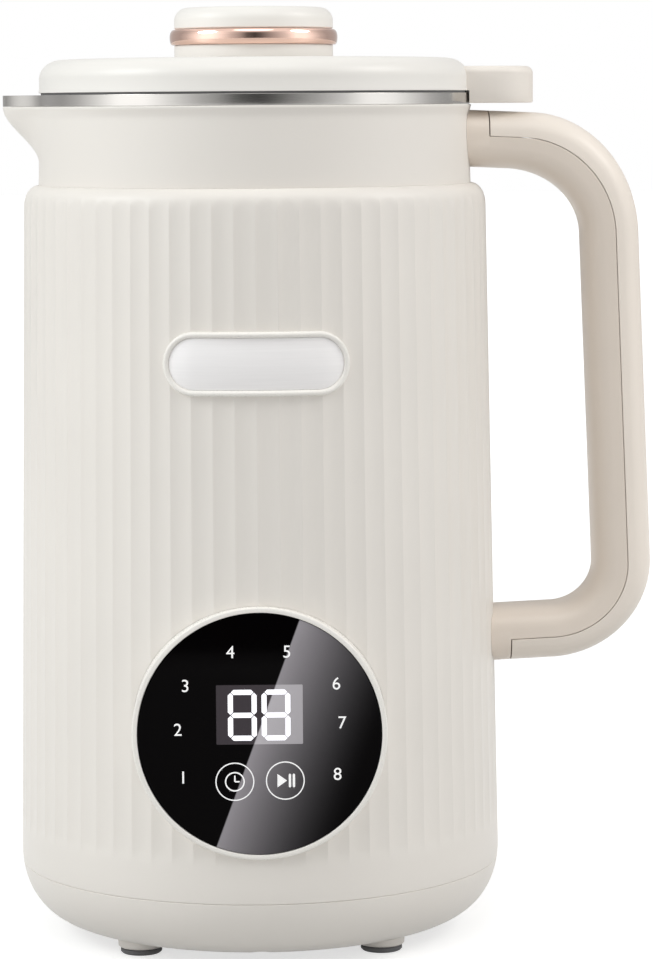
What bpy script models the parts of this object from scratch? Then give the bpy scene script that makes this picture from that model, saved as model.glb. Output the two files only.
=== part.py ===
"""Soy milk maker: a fluted upright jug with its motor, heater and controls in the base.

The jug stands on +Z up with its handle at +X, its spout at -X and its control panel at -Y.
All lengths are in metres.
"""
import math

import bmesh
import bpy
from mathutils import Vector
from mathutils.geometry import tessellate_polygon

# Clearances shared by all pieces
GAP = 0.0003
RUNNING_GAP = 0.0003
OVERRUN = 0.002

# Vertical stack, from the surface that the jug stands on to the top of the knob
FOOT_DROP = 0.004
BASE_HEIGHT = 0.018
FAN_FLOOR_CLEARANCE = 0.0058
FAN_HEIGHT = 0.008
FAN_BRACKET_CLEARANCE = 0.002
BRACKET_THICKNESS = 0.003
LOWER_LEG_HEIGHT = 0.0247
STATOR_HEIGHT = 0.030
UPPER_LEG_HEIGHT = 0.0167
UPPER_BOSS_HEIGHT = 0.006
CHASSIS_THICKNESS = 0.003
HEATER_CHAMBER_HEIGHT = 0.0197
POT_DEPTH = 0.1282
RIM_HEIGHT = 0.0035
LID_HEIGHT = 0.0104
KNOB_BASE_HEIGHT = 0.0033
KNOB_RING_HEIGHT = 0.0052
KNOB_CAP_HEIGHT = 0.0062

# Pot: its bore sets the width of everything round it
POT_RADIUS = 0.0600
POT_WALL = 0.0010
POT_CORNER = 0.0100
RIM_WIDTH = 0.0060
RIM_LIP = 0.0013
RIM_RADIUS = POT_RADIUS + RIM_WIDTH
RIM_INNER_RADIUS = POT_RADIUS + RIM_LIP
RIM_EDGE = 0.0006
POT_HOLE_RADIUS = 0.0083

# Housing
NECK_SPACE = 0.0045
NECK_TAPER = 0.0008
SHOULDER_STEP = 0.0046
BODY_TAPER = 0.0035
CORNER_WIDTH = 0.0184
NECK_RADIUS_HIGH = POT_RADIUS + POT_WALL + NECK_SPACE
NECK_RADIUS_LOW = NECK_RADIUS_HIGH + NECK_TAPER
SHOULDER_RADIUS = NECK_RADIUS_LOW + SHOULDER_STEP
BODY_RADIUS = SHOULDER_RADIUS + BODY_TAPER
BOTTOM_RADIUS = BODY_RADIUS - CORNER_WIDTH
SHELL_WALL = 0.0022
CORNER_HEIGHT = 0.022
CORNER_POWER = 2.15
SHOULDER_DROP = 0.0065
NECK_HEIGHT = 0.0239
NECK_WALL = 0.0022
NECK_EDGE = 0.0005
COLLAR_SOCKET = 0.0044
LEDGE_HEIGHT = 0.0024
LEDGE_SLOPE = 0.0049
LEDGE_CLEARANCE = 0.0022
CHASSIS_LEDGE_WIDTH = 0.0026
CHASSIS_LEDGE_HEIGHT = 0.0025
LIP_HEIGHT = 0.0027
LIP_WALL = 0.0016

# Flutes
FLUTE_COUNT = 70
FLUTE_DEPTH = 0.00035
FLUTE_FOOT_RISE = 0.0105
FLUTE_FOOT_FADE = 0.0045
FLUTE_HEAD_DROP = 0.0005
FLUTE_HEAD_FADE = 0.005

# Spout
SPOUT_LENGTH = 0.0115
SPOUT_REACH = NECK_RADIUS_HIGH + SPOUT_LENGTH
SPOUT_HEIGHT = 0.0174
SPOUT_HALF_ANGLE = math.radians(25)
SPOUT_SHARPNESS = 5
SPOUT_CROWDING = 0.6

# Feet and base fasteners
FOOT_RADIUS = 0.0063
FOOT_PAD_THICKNESS = 0.0016
FOOT_BOSS_RADIUS = 0.0070
FOOT_STEM_RADIUS = 0.0030
FOOT_STEM_HEIGHT = 0.0025
FOOT_INSET_X = 0.0196
FOOT_INSET_Y = 0.0170
FOOT_SPREAD_X = BOTTOM_RADIUS - FOOT_INSET_X
FOOT_SPREAD_Y = BOTTOM_RADIUS - FOOT_INSET_Y
BASE_SCREW_INSET = 0.0144
BASE_SCREW_CIRCLE = BODY_RADIUS - BASE_SCREW_INSET
BASE_SCREW_ANGLES = (math.radians(30), math.radians(150), math.radians(270))
BASE_BOSS_HEIGHT = 0.008
BASE_BOSS_WIDTH = 0.008
BASE_POST_RADIUS = 0.0042
SCREW_RADIUS = 0.0015
SCREW_CLEARANCE = 0.0004
SCREW_HEAD_RADIUS = 0.0028
SCREW_HEAD_HEIGHT = 0.0020
SCREW_RECESS = 0.006
SCREW_BITE = 0.0060
VENT_COUNT = 12
VENT_INNER_RADIUS = 0.012
VENT_OUTER_RADIUS = 0.030
VENT_WIDTH = 0.0032

# Handle
HANDLE_DEPTH = 0.0270
HANDLE_TOP_DROP = 0.0015
HANDLE_TOP_FALL = 0.0011
HANDLE_HEIGHT = 0.1714
HANDLE_PROJECTION = 0.0476
HANDLE_REACH = BODY_RADIUS + HANDLE_PROJECTION
GRIP_LEAN = 0.0039
GRIP_THICKNESS = 0.0179
UPPER_ARM_THICKNESS = 0.0174
LOWER_ARM_THICKNESS = 0.0171
LOWER_ARM_RISE = 0.0014
OUTER_TOP_WIDTH_SHARE = 0.7205
INNER_TOP_WIDTH_SHARE = 0.8225
OUTER_LOW_WIDTH_SHARE = 0.6830
INNER_LOW_WIDTH_SHARE = 0.4583
OUTER_TOP_CORNER = 0.0383
INNER_TOP_CORNER = 0.0207
OUTER_LOW_CORNER = 0.0305
INNER_LOW_CORNER = 0.0126
INNER_TOP_FALL = 0.0008
HANDLE_SECTION_POWER = 3.4
COVER_THICKNESS = 0.0079
COVER_START_GAP = 0.0054
COVER_END_GAP = 0.0038
COVER_START = NECK_RADIUS_LOW + COVER_START_GAP
COVER_END = BODY_RADIUS + COVER_END_GAP
HANDLE_WALL = 0.0024
HANDLE_STEP = 0.0002
CAVITY_START_SHARE = 0.67
CAVITY_END_SHARE = 0.49
HANDLE_SCREW_BITE = 0.0100
HANDLE_SCREW_SHARE = 0.65
HANDLE_SCREW_RADIUS = 0.0019
REED_LENGTH = 0.0070
REED_WIDTH = 0.0050
REED_HEIGHT = 0.0036
REED_SPACE = 0.0005

# Control panel
PANEL_RADIUS = 0.0356
PANEL_RISE = 0.0509
PANEL_PROUD = 0.0010
BEZEL_WIDTH = 0.0017
BEZEL_DEPTH = 0.0134
LENS_THICKNESS = 0.0016
LENS_SINK = 0.0003
SHELF_WIDTH = 0.0021
SHELF_THICKNESS = 0.0060
BOARD_THICKNESS = 0.0016
DIGIT_WIDTH = 0.0244
DIGIT_HEIGHT = 0.0176
DIGIT_RISE = 0.0060
TOUCH_RADIUS = 0.0050
TOUCH_OFFSET_X = 0.0073
TOUCH_DROP = 0.0141

# Name plate
PLATE_RISE = 0.1586
PLATE_WIDTH = 0.0546
PLATE_HEIGHT = 0.0184
PLATE_FRAME_WIDTH = 0.0013
PLATE_FRAME_PROUD = 0.0012
PLATE_PROUD = 0.0008
PLATE_BACK = 0.0003

# Power inlet
INLET_RISE = 0.0200
INLET_WIDTH = 0.0320
INLET_HEIGHT = 0.0240
INLET_WALL = 0.0030
INLET_DEPTH = 0.0150
INLET_BACK = 0.0020
INLET_PROUD = 0.0004
PIN_WIDTH = 0.0020
PIN_HEIGHT = 0.0045
PIN_LENGTH = 0.0060
PIN_SPACING = 0.0070

# Motor and drive
SHAFT_RADIUS = 0.0040
SHAFT_TOP_RADIUS = 0.0030
SHAFT_FOOT = 0.0025
FAN_RADIUS = 0.0300
FAN_HUB_RADIUS = 0.0070
FAN_PLATE_THICKNESS = 0.0012
FAN_BLADE_COUNT = 9
FAN_BLADE_THICKNESS = 0.0012
BEARING_RADIUS = 0.0080
BEARING_HEIGHT = 0.0055
BEARING_BOSS_RADIUS = 0.0120
LOWER_BOSS_HEIGHT = 0.0090
BRACKET_HALF_LENGTH = 0.0355
BRACKET_HALF_WIDTH = 0.0100
LEG_THICKNESS = 0.0040
LEG_HALF_WIDTH = 0.0060
STATOR_RADIUS = 0.0360
YOKE_INNER_RADIUS = 0.0310
SHOE_OUTER_RADIUS = 0.0205
SHOE_INNER_RADIUS = 0.0181
SHOE_HALF_ANGLE = math.radians(60)
POLE_HALF_WIDTH = 0.0120
COIL_RADIUS = 0.0033
COIL_OFFSET = 0.0220
COIL_OVERHANG = 0.0010
ROTOR_RADIUS = 0.0175
ROTOR_SLOT_COUNT = 12
ROTOR_SLOT_DEPTH = 0.0035
ROTOR_SLOT_WIDTH = 0.0030
COMMUTATOR_RADIUS = 0.0100
COMMUTATOR_HEIGHT = 0.0084
COMMUTATOR_DROP = 0.0010
BRUSH_HALF_WIDTH = 0.0030
BRUSH_HEIGHT = 0.0050
BRUSH_LENGTH = 0.0130
HOLDER_START = 0.0122
HOLDER_END = 0.0290
HOLDER_WALL = 0.0013
MOTOR_SCREW_SPREAD = 0.0260
MOTOR_POST_RADIUS = 0.0045

# Parts under the pot
SPREADER_THICKNESS = 0.0057
SPREADER_INNER_RADIUS = 0.0220
SPREADER_INSET = 0.0060
SPREADER_OUTER_RADIUS = POT_RADIUS - SPREADER_INSET
POST_RADIUS = 0.0038
POST_INSET = 0.0050
POST_CIRCLE = SPREADER_OUTER_RADIUS - POST_INSET
POST_ANGLES = (math.radians(30), math.radians(150), math.radians(270))
HEATER_TUBE_RADIUS = 0.0032
HEATER_CIRCLE = SPREADER_OUTER_RADIUS - POST_INSET - POST_RADIUS - 2 * HEATER_TUBE_RADIUS
HEATER_SWEEP = math.radians(300)
HEATER_TAIL = 0.0070
SENSOR_CIRCLE = 0.0158
SENSOR_RADIUS = 0.0034
CHASSIS_HOLE_RADIUS = 0.0090
SEAL_FLANGE_RADIUS = 0.0110
SEAL_FLANGE_THICKNESS = 0.0032
SEAL_LIP_RADIUS = 0.0105
SEAL_LIP_THICKNESS = 0.0018
SEAL_NOSE_HEIGHT = 0.0040
SEAL_NOSE_RADIUS = 0.0062
PROBE_DROP = 0.0160
PROBE_RADIUS = 0.0024
PROBE_FLANGE_RADIUS = 0.0038
PROBE_FLANGE_THICKNESS = 0.0016
PROBE_REACH = 0.0040

# Power board
POWER_BOARD_INSET = 0.0244
POWER_BOARD_OFFSET = BODY_RADIUS - POWER_BOARD_INSET
POWER_BOARD_WIDTH = 0.0560
POWER_BOARD_HEIGHT = 0.0440
RELAY_SIZE = (0.0160, 0.0110, 0.0160)
RELAY_OFFSET = 0.0110
CAPACITOR_SIZE = (0.0140, 0.0110, 0.0220)
CAPACITOR_OFFSET = 0.0120
CABLE_RADIUS = 0.0015
CABLE_START_X = 0.0200
CABLE_INSET = 0.0144
CABLE_BULGE = BODY_RADIUS - CABLE_INSET
CABLE_CORNER = CABLE_BULGE * math.cos(math.pi / 4)

# Blades
BLADE_SHOULDER_RISE = 0.0097
BLADE_THICKNESS = 0.0012
BLADE_HUB_RADIUS = 0.0075
LOWER_BLADE_REACH = 0.0280
UPPER_BLADE_REACH = 0.0230
BLADE_ROOT_WIDTH = 0.0100
BLADE_TIP_WIDTH = 0.0040
BLADE_BEND_SHARE = 0.45
NUT_RADIUS = 0.0055
NUT_HEIGHT = 0.0080
NUT_CROWN = 0.0020

# Lid and knob
LID_INSET = 0.0003
LID_RADIUS = RIM_RADIUS - LID_INSET
LID_WALL = 0.0023
LID_CORNER_WIDTH = 0.0080
LID_CORNER_HEIGHT = 0.0062
LID_CROWN = 0.0006
LID_HOLE_RADIUS = 0.0022
TAB_LENGTH = 0.0196
TAB_REACH = RIM_RADIUS + TAB_LENGTH
TAB_DEPTH = 0.0260
TAB_TOP_DROP = 0.0030
TAB_HANDLE_GAP = 0.0018
TAB_CORNER = 0.0050
TAB_ROOT_INSET = 0.0018
MAGNET_RADIUS = 0.0045
MAGNET_THICKNESS = 0.0040
MAGNET_INSET = 0.0091
MAGNET_OFFSET = TAB_REACH - MAGNET_INSET
MAGNET_SINK = 0.0003
LINER_SPACE = 0.0030
LINER_SKIRT_RADIUS = POT_RADIUS - LINER_SPACE
LINER_SKIRT_DROP = 0.0112
LINER_WALL = 0.0020
LINER_FLANGE_WIDTH = 0.0059
LINER_FLANGE_RADIUS = LINER_SKIRT_RADIUS + LINER_FLANGE_WIDTH
LINER_THICKNESS = 0.0014
GASKET_FOOT_RISE = 0.0015
GASKET_HEIGHT = 0.0070
KNOB_RADIUS = 0.0243
KNOB_RING_RADIUS = 0.0257
KNOB_RING_BULGE = 0.0008
KNOB_BOSS_RADIUS = 0.0190
KNOB_STEM_RADIUS = 0.0050
KNOB_CORNER = 0.0040
KNOB_CROWN = 0.0004
KNOB_STEM_DROP = 0.0060
KNOB_SCREW_RADIUS = 0.0018
KNOB_SCREW_HEAD_RADIUS = 0.0040
KNOB_SCREW_HEAD_HEIGHT = 0.0020
KNOB_SCREW_END_GAP = 0.0006

# Facets
RING_STEPS = 56
FINE_STEPS = 40
SMALL_STEPS = 16
SCREW_STEPS = 12
CORNER_STEPS = 5
HANDLE_CORNER_STEPS = 6
HANDLE_GRIP_STEPS = 3
HANDLE_SECTION_STEPS = 5
ARC_STEPS = 4

# Levels worked out from the stack
Z_BOWL = FOOT_DROP
Z_FLOOR = Z_BOWL + SHELL_WALL
Z_SEAM = Z_BOWL + BASE_HEIGHT
Z_CORNER = Z_BOWL + CORNER_HEIGHT
Z_FAN = Z_FLOOR + FAN_FLOOR_CLEARANCE
Z_FAN_TOP = Z_FAN + FAN_HEIGHT
Z_LOWER_BAR = Z_FAN_TOP + FAN_BRACKET_CLEARANCE
Z_STATOR = Z_LOWER_BAR + BRACKET_THICKNESS + LOWER_LEG_HEIGHT + GAP
Z_STATOR_TOP = Z_STATOR + STATOR_HEIGHT
Z_UPPER_BAR = Z_STATOR_TOP + GAP + UPPER_LEG_HEIGHT
Z_UPPER_BOSS_TOP = Z_UPPER_BAR + UPPER_BOSS_HEIGHT
Z_CHASSIS = Z_UPPER_BOSS_TOP + GAP
Z_CHASSIS_TOP = Z_CHASSIS + CHASSIS_THICKNESS
Z_POT = Z_CHASSIS_TOP + HEATER_CHAMBER_HEIGHT
Z_POT_FLOOR = Z_POT + POT_WALL
Z_FLANGE = Z_POT_FLOOR + POT_DEPTH
Z_RIM_TOP = Z_FLANGE + RIM_HEIGHT
Z_NECK_TOP = Z_FLANGE - GAP
Z_SPOUT = Z_NECK_TOP - SPOUT_HEIGHT
Z_SHOULDER = Z_NECK_TOP - NECK_HEIGHT
Z_SHOULDER_FOOT = Z_SHOULDER - SHOULDER_DROP
Z_COLLAR = Z_SHOULDER - COLLAR_SOCKET
Z_LEDGE_TOP = Z_COLLAR - GAP
Z_LID = Z_RIM_TOP + GAP
Z_LID_TOP = Z_LID + LID_HEIGHT
Z_KNOB = Z_LID_TOP + GAP
Z_KNOB_RING = Z_KNOB + KNOB_BASE_HEIGHT + GAP
Z_KNOB_CAP = Z_KNOB_RING + KNOB_RING_HEIGHT + GAP
Z_KNOB_TOP = Z_KNOB_CAP + KNOB_CAP_HEIGHT
Z_PANEL = Z_SEAM + PANEL_RISE
Z_PLATE = Z_SEAM + PLATE_RISE
Z_INLET = Z_SEAM + INLET_RISE
Z_HANDLE_TOP = Z_NECK_TOP - HANDLE_TOP_DROP
Z_HANDLE_FOOT = Z_HANDLE_TOP - HANDLE_HEIGHT
Z_BLADE = Z_POT_FLOOR + BLADE_SHOULDER_RISE + GAP
AXIS_X = (SPOUT_REACH - HANDLE_REACH) / 2
PANEL_FACE = BODY_RADIUS + PANEL_PROUD

CREAM = (0.86, 0.84, 0.79)
WARM_CREAM = (0.84, 0.79, 0.72)
PLATE_GREY = (0.78, 0.79, 0.80)
STEEL = (0.66, 0.66, 0.64)
ROSE_GOLD = (0.80, 0.52, 0.40)
BLACK = (0.012, 0.012, 0.014)
RUBBER = (0.10, 0.10, 0.10)
SILICONE = (0.70, 0.70, 0.68)
COPPER = (0.72, 0.38, 0.22)
IRON = (0.32, 0.32, 0.33)
ALUMINIUM = (0.75, 0.75, 0.76)
BOARD_GREEN = (0.05, 0.22, 0.12)
WHITE_LIGHT = (0.92, 0.94, 1.0)
CARBON = (0.06, 0.06, 0.06)

materials = {}
bodies = {}


def clear_scene():
    for item in list(bpy.data.objects):
        bpy.data.objects.remove(item, do_unlink=True)


def material(name, colour, roughness, metallic=0.0):
    if name not in materials:
        made = bpy.data.materials.new(name)
        made.use_nodes = True
        shader = made.node_tree.nodes["Principled BSDF"]
        shader.inputs["Base Color"].default_value = (*colour, 1.0)
        shader.inputs["Roughness"].default_value = roughness
        shader.inputs["Metallic"].default_value = metallic
        materials[name] = made
    return materials[name]


def make_bodies():
    """One empty on the jug's axis for the housing, one for the lid and one for the drive."""
    for name in ("housing", "lid", "drive"):
        empty = bpy.data.objects.new(name + "_axis", None)
        empty.location = (AXIS_X, 0, 0)
        bpy.context.scene.collection.objects.link(empty)
        bodies[name] = empty


def link(name, bm, body):
    bmesh.ops.recalc_face_normals(bm, faces=bm.faces)
    mesh = bpy.data.meshes.new(name)
    bm.to_mesh(mesh)
    bm.free()
    item = bpy.data.objects.new(name, mesh)
    bpy.context.scene.collection.objects.link(item)
    item.parent = bodies[body]
    return item


def piece(name, bm, body, colour, roughness, metallic=0.0):
    item = link(name, bm, body)
    item.data.materials.append(material(name, colour, roughness, metallic))
    item.data.shade_smooth()
    item.data.set_sharp_from_angle(angle=math.radians(35))
    return item


def tool(name, bm, body="housing"):
    """A hidden shape that cuts or adds to a piece."""
    item = link(name, bm, body)
    item.hide_render = True
    item.display_type = "WIRE"
    return item


def boolean(item, other, operation):
    modifier = item.modifiers.new(other.name, "BOOLEAN")
    modifier.operation = operation
    modifier.object = other


def cut(item, other):
    boolean(item, other, "DIFFERENCE")


def join(item, other):
    boolean(item, other, "UNION")


def mix(low, high, share):
    return low + (high - low) * share


def stitch(bm, low, high):
    """Faces between two rings: equal counts, one ring twice the other, or a point."""
    if len(low) < len(high):
        low, high = high, low
    count = len(low)
    if len(high) == 1:
        for i in range(count):
            bm.faces.new((low[i], low[(i + 1) % count], high[0]))
    elif len(high) == count:
        for i in range(count):
            j = (i + 1) % count
            bm.faces.new((low[i], low[j], high[j], high[i]))
    else:
        half = len(high)
        for i in range(half):
            a = low[2 * i]
            b = low[2 * i + 1]
            c = low[(2 * i + 2) % count]
            bm.faces.new((a, b, high[i]))
            bm.faces.new((b, c, high[(i + 1) % half], high[i]))


def loft(rings, loop=False, split=False):
    """Skin a row of rings. A loop joins the last to the first; otherwise flat ends close it.

    Split halves the faces, for shapes whose four-sided faces would be warped.
    """
    bm = bmesh.new()
    rows = [[bm.verts.new(point) for point in ring] for ring in rings]
    pairs = list(zip(rows, rows[1:]))
    if loop:
        pairs.append((rows[-1], rows[0]))
    for low, high in pairs:
        stitch(bm, low, high)
    if not loop:
        for row in (rows[0], rows[-1]):
            if len(row) > 2:
                bm.faces.new(row)
    if split:
        bmesh.ops.triangulate(bm, faces=bm.faces)
    return bm


def circle(radius, z, steps, centre=(0, 0)):
    if radius == 0:
        return [Vector((centre[0], centre[1], z))]
    ring = []
    for i in range(steps):
        angle = math.tau * i / steps
        x = centre[0] + radius * math.cos(angle)
        y = centre[1] + radius * math.sin(angle)
        ring.append(Vector((x, y, z)))
    return ring


def turned(profile, steps=SMALL_STEPS, centre=(0, 0), loop=None):
    """A profile of (radius, height) points turned about a vertical axis."""
    if loop is None:
        loop = profile[0][0] > 0
    return loft([circle(radius, z, steps, centre) for radius, z in profile], loop)


def rod(radius, low, high, steps=SMALL_STEPS, centre=(0, 0)):
    return turned([(radius, low), (radius, high)], steps, centre, loop=False)


def tube(inner, outer, low, high, steps=SMALL_STEPS, centre=(0, 0)):
    profile = [(inner, low), (outer, low), (outer, high), (inner, high)]
    return turned(profile, steps, centre, loop=True)


def turn_to(bm, axis, centre=(0, 0, 0)):
    """Lay a shape made about Z along X or Y, then move it; z becomes the way along the axis."""
    for vert in bm.verts:
        x, y, z = vert.co
        if axis == "X":
            vert.co = Vector((z, x, y)) + Vector(centre)
        else:
            vert.co = Vector((y, z, x)) + Vector(centre)
    return bm


def box(low, high):
    x0, y0, z0 = low
    x1, y1, z1 = high
    rings = []
    for z in (z0, z1):
        rings.append([Vector((x0, y0, z)), Vector((x1, y0, z)), Vector((x1, y1, z)), Vector((x0, y1, z))])
    return loft(rings)


def extruded(outline, holes, low, high):
    """A flat outline with holes, drawn up from one height to the other."""
    bm = bmesh.new()
    loops = [outline, *holes]
    flat = [[Vector((x, y, 0)) for x, y in loop] for loop in loops]
    floor = [[bm.verts.new((x, y, low)) for x, y in loop] for loop in loops]
    roof = [[bm.verts.new((x, y, high)) for x, y in loop] for loop in loops]
    floor_all = [vert for loop in floor for vert in loop]
    roof_all = [vert for loop in roof for vert in loop]
    for triangle in tessellate_polygon(flat):
        bm.faces.new([floor_all[i] for i in triangle])
        bm.faces.new([roof_all[i] for i in triangle])
    for lower, upper in zip(floor, roof):
        stitch(bm, lower, upper)
    return bm


def merged(parts):
    """Several shapes in one mesh, for a tool made of separate copies."""
    bm = bmesh.new()
    for part in parts:
        mesh = bpy.data.meshes.new("part")
        part.to_mesh(mesh)
        part.free()
        bm.from_mesh(mesh)
        bpy.data.meshes.remove(mesh)
    return bm


def polar(radius, angle):
    return (radius * math.cos(angle), radius * math.sin(angle))


def arc(radius, start, end, steps):
    return [polar(radius, mix(start, end, i / steps)) for i in range(steps + 1)]


def rounded_rectangle(low_x, high_x, half_y, corner):
    """Outline with only its two corners at high x rounded."""
    points = [(low_x, -half_y)]
    for i in range(ARC_STEPS + 1):
        angle = -math.pi / 2 + math.pi / 2 * i / ARC_STEPS
        x = high_x - corner + corner * math.cos(angle)
        points.append((x, -half_y + corner + corner * math.sin(angle)))
    for i in range(ARC_STEPS + 1):
        angle = math.pi / 2 * i / ARC_STEPS
        x = high_x - corner + corner * math.cos(angle)
        points.append((x, half_y - corner + corner * math.sin(angle)))
    points.append((low_x, half_y))
    return points


def body_radius(z):
    """Outside of the jug below the shoulder: a slight taper over a rounded lower corner."""
    if z < Z_CORNER:
        drop = (Z_CORNER - z) / CORNER_HEIGHT
        share = max(0.0, 1 - drop ** CORNER_POWER) ** (1 / CORNER_POWER)
        return mix(BOTTOM_RADIUS, BODY_RADIUS, share)
    share = (z - Z_CORNER) / (Z_SHOULDER_FOOT - Z_CORNER)
    return mix(BODY_RADIUS, SHOULDER_RADIUS, share)


def sleeve_inner(z):
    return body_radius(z) - SHELL_WALL


def neck_radius(z):
    share = (z - Z_SHOULDER) / (Z_NECK_TOP - Z_SHOULDER)
    return mix(NECK_RADIUS_LOW, NECK_RADIUS_HIGH, share)


def spout_angles():
    """Angles round the neck from the spout at -X, closer together at the spout."""
    angles = []
    for i in range(RING_STEPS):
        turn = math.tau * i / RING_STEPS
        angles.append(turn - SPOUT_CROWDING * math.sin(turn))
    return angles


def spout_weight(angle):
    """1 at the spout's tip, falling to 0 on either side."""
    away = min(angle, math.tau - angle)
    if away >= SPOUT_HALF_ANGLE:
        return 0.0
    return math.cos(math.pi / 2 * away / SPOUT_HALF_ANGLE) ** SPOUT_SHARPNESS


def spout_share(z):
    share = min(1.0, max(0.0, (z - Z_SPOUT) / SPOUT_HEIGHT))
    return share * share * (3 - 2 * share)


def spouted_ring(radius, extra, z):
    """A ring about the axis with the spout drawn out of it at -X."""
    ring = []
    for angle in spout_angles():
        reach = radius + extra * spout_weight(angle)
        ring.append(Vector((-reach * math.cos(angle), -reach * math.sin(angle), z)))
    return ring


def fluted_ring(radius, depth, z):
    """A ring of shallow hollow flutes with a ridge at the front."""
    ring = []
    for i in range(2 * FLUTE_COUNT):
        angle = -math.pi / 2 + math.pi * i / FLUTE_COUNT
        reach = radius - (depth if i % 2 else 0)
        ring.append(Vector((reach * math.cos(angle), reach * math.sin(angle), z)))
    return ring


def plain_ring(radius, z):
    """A ring of one point for each flute ridge."""
    ring = []
    for i in range(FLUTE_COUNT):
        angle = -math.pi / 2 + math.tau * i / FLUTE_COUNT
        ring.append(Vector((radius * math.cos(angle), radius * math.sin(angle), z)))
    return ring


def panel_cutter():
    """Clears the round opening that the panel's bezel sits in."""
    radius = PANEL_RADIUS + BEZEL_WIDTH + GAP
    depth = BEZEL_DEPTH + GAP
    shape = rod(radius, -PANEL_FACE - OVERRUN, -PANEL_FACE + depth, FINE_STEPS)
    return tool("panel_cutter", turn_to(shape, "Y", (0, 0, Z_PANEL)))


def make_outer_sleeve(panel_hole):
    z_foot = Z_SEAM + GAP
    z_flute = Z_SEAM + FLUTE_FOOT_RISE
    z_flute_top = Z_SHOULDER_FOOT - FLUTE_HEAD_DROP
    neck_hole = NECK_RADIUS_LOW + GAP
    rings = [plain_ring(body_radius(z_foot), z_foot), plain_ring(body_radius(z_flute), z_flute)]
    for z in (z_flute + FLUTE_FOOT_FADE, z_flute_top - FLUTE_HEAD_FADE):
        rings.append(fluted_ring(body_radius(z), FLUTE_DEPTH, z))
    rings.append(plain_ring(body_radius(z_flute_top), z_flute_top))
    for i in range(ARC_STEPS + 1):
        angle = math.pi / 2 * i / ARC_STEPS
        radius = mix(neck_hole, SHOULDER_RADIUS, math.cos(angle))
        rings.append(plain_ring(radius, Z_SHOULDER_FOOT + SHOULDER_DROP * math.sin(angle)))
    z_ledge_foot = Z_LEDGE_TOP - LEDGE_HEIGHT
    seat = POT_RADIUS + POT_WALL + LEDGE_CLEARANCE
    rings.append(plain_ring(neck_hole, Z_LEDGE_TOP))
    rings.append(plain_ring(seat, Z_LEDGE_TOP))
    rings.append(plain_ring(seat, z_ledge_foot))
    z = z_ledge_foot - LEDGE_SLOPE
    rings.append(plain_ring(sleeve_inner(z), z))
    z_rest = Z_CHASSIS - GAP
    rest = sleeve_inner(z_rest) - CHASSIS_LEDGE_WIDTH
    rings.append(plain_ring(sleeve_inner(z_rest), z_rest))
    rings.append(plain_ring(rest, z_rest))
    rings.append(plain_ring(rest, z_rest - CHASSIS_LEDGE_HEIGHT))
    z = z_rest - CHASSIS_LEDGE_HEIGHT - CHASSIS_LEDGE_WIDTH
    rings.append(plain_ring(sleeve_inner(z), z))
    rings.append(plain_ring(sleeve_inner(z_foot), z_foot))
    sleeve = piece("outer_sleeve", loft(rings, loop=True), "housing", CREAM, 0.5)
    join(sleeve, tool("sleeve_bosses", sleeve_bosses()))
    cut(sleeve, tool("sleeve_boss_holes", screw_holes(SCREW_RADIUS + SCREW_CLEARANCE / 2)))
    cut(sleeve, panel_hole)
    cut(sleeve, tool("inlet_cutter", inlet_block(GAP)))
    x_in = sleeve_inner(lower_screw_z()) - OVERRUN
    cut(sleeve, screw_along_x("lower_handle_hole", lower_screw_z(), x_in, COVER_END))


def sleeve_bosses():
    """Three ribs inside the sleeve's foot that take the base screws."""
    low = Z_SEAM + LIP_HEIGHT + GAP
    half = BASE_BOSS_WIDTH / 2
    inner = BASE_SCREW_CIRCLE - half
    outer = sleeve_inner(low) + SHELL_WALL / 2
    parts = []
    for angle in BASE_SCREW_ANGLES:
        part = box((inner, -half, low), (outer, half, low + BASE_BOSS_HEIGHT))
        turn = Vector((math.cos(angle), math.sin(angle)))
        for vert in part.verts:
            x, y, z = vert.co
            vert.co = Vector((x * turn.x - y * turn.y, x * turn.y + y * turn.x, z))
        parts.append(part)
    return merged(parts)


def screw_holes(radius):
    low = Z_SEAM
    high = Z_SEAM + LIP_HEIGHT + GAP + SCREW_BITE + GAP
    parts = [rod(radius, low, high, SCREW_STEPS, polar(BASE_SCREW_CIRCLE, a)) for a in BASE_SCREW_ANGLES]
    return merged(parts)


def screw_along_x(name, z, start, end):
    radius = HANDLE_SCREW_RADIUS + GAP
    return tool(name, turn_to(rod(radius, start, end, SCREW_STEPS), "X", (0, 0, z)))


def upper_screw_z():
    return Z_HANDLE_TOP - UPPER_ARM_THICKNESS * HANDLE_SCREW_SHARE


def lower_screw_z():
    return Z_HANDLE_FOOT + LOWER_ARM_THICKNESS * HANDLE_SCREW_SHARE


def make_collar():
    z_edge = Z_NECK_TOP - NECK_EDGE
    extra = SPOUT_REACH - NECK_RADIUS_HIGH
    levels = [Z_COLLAR, *(mix(Z_SPOUT, z_edge, i / 3) for i in range(4))]
    rings = []
    for z in levels:
        rings.append(spouted_ring(neck_radius(max(z, Z_SHOULDER)), extra * spout_share(z), z))
    rings.append(spouted_ring(NECK_RADIUS_HIGH - NECK_EDGE, extra, Z_NECK_TOP))
    rings.append(spouted_ring(NECK_RADIUS_HIGH - NECK_WALL, extra, Z_NECK_TOP))
    for z in reversed(levels[:-1]):
        radius = neck_radius(max(z, Z_SHOULDER)) - NECK_WALL
        rings.append(spouted_ring(radius, extra * spout_share(z), z))
    collar = piece("collar", loft(rings, loop=True), "housing", CREAM, 0.5)
    x_in = POT_RADIUS
    cut(collar, screw_along_x("upper_handle_hole", upper_screw_z(), x_in, COVER_START))


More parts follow.
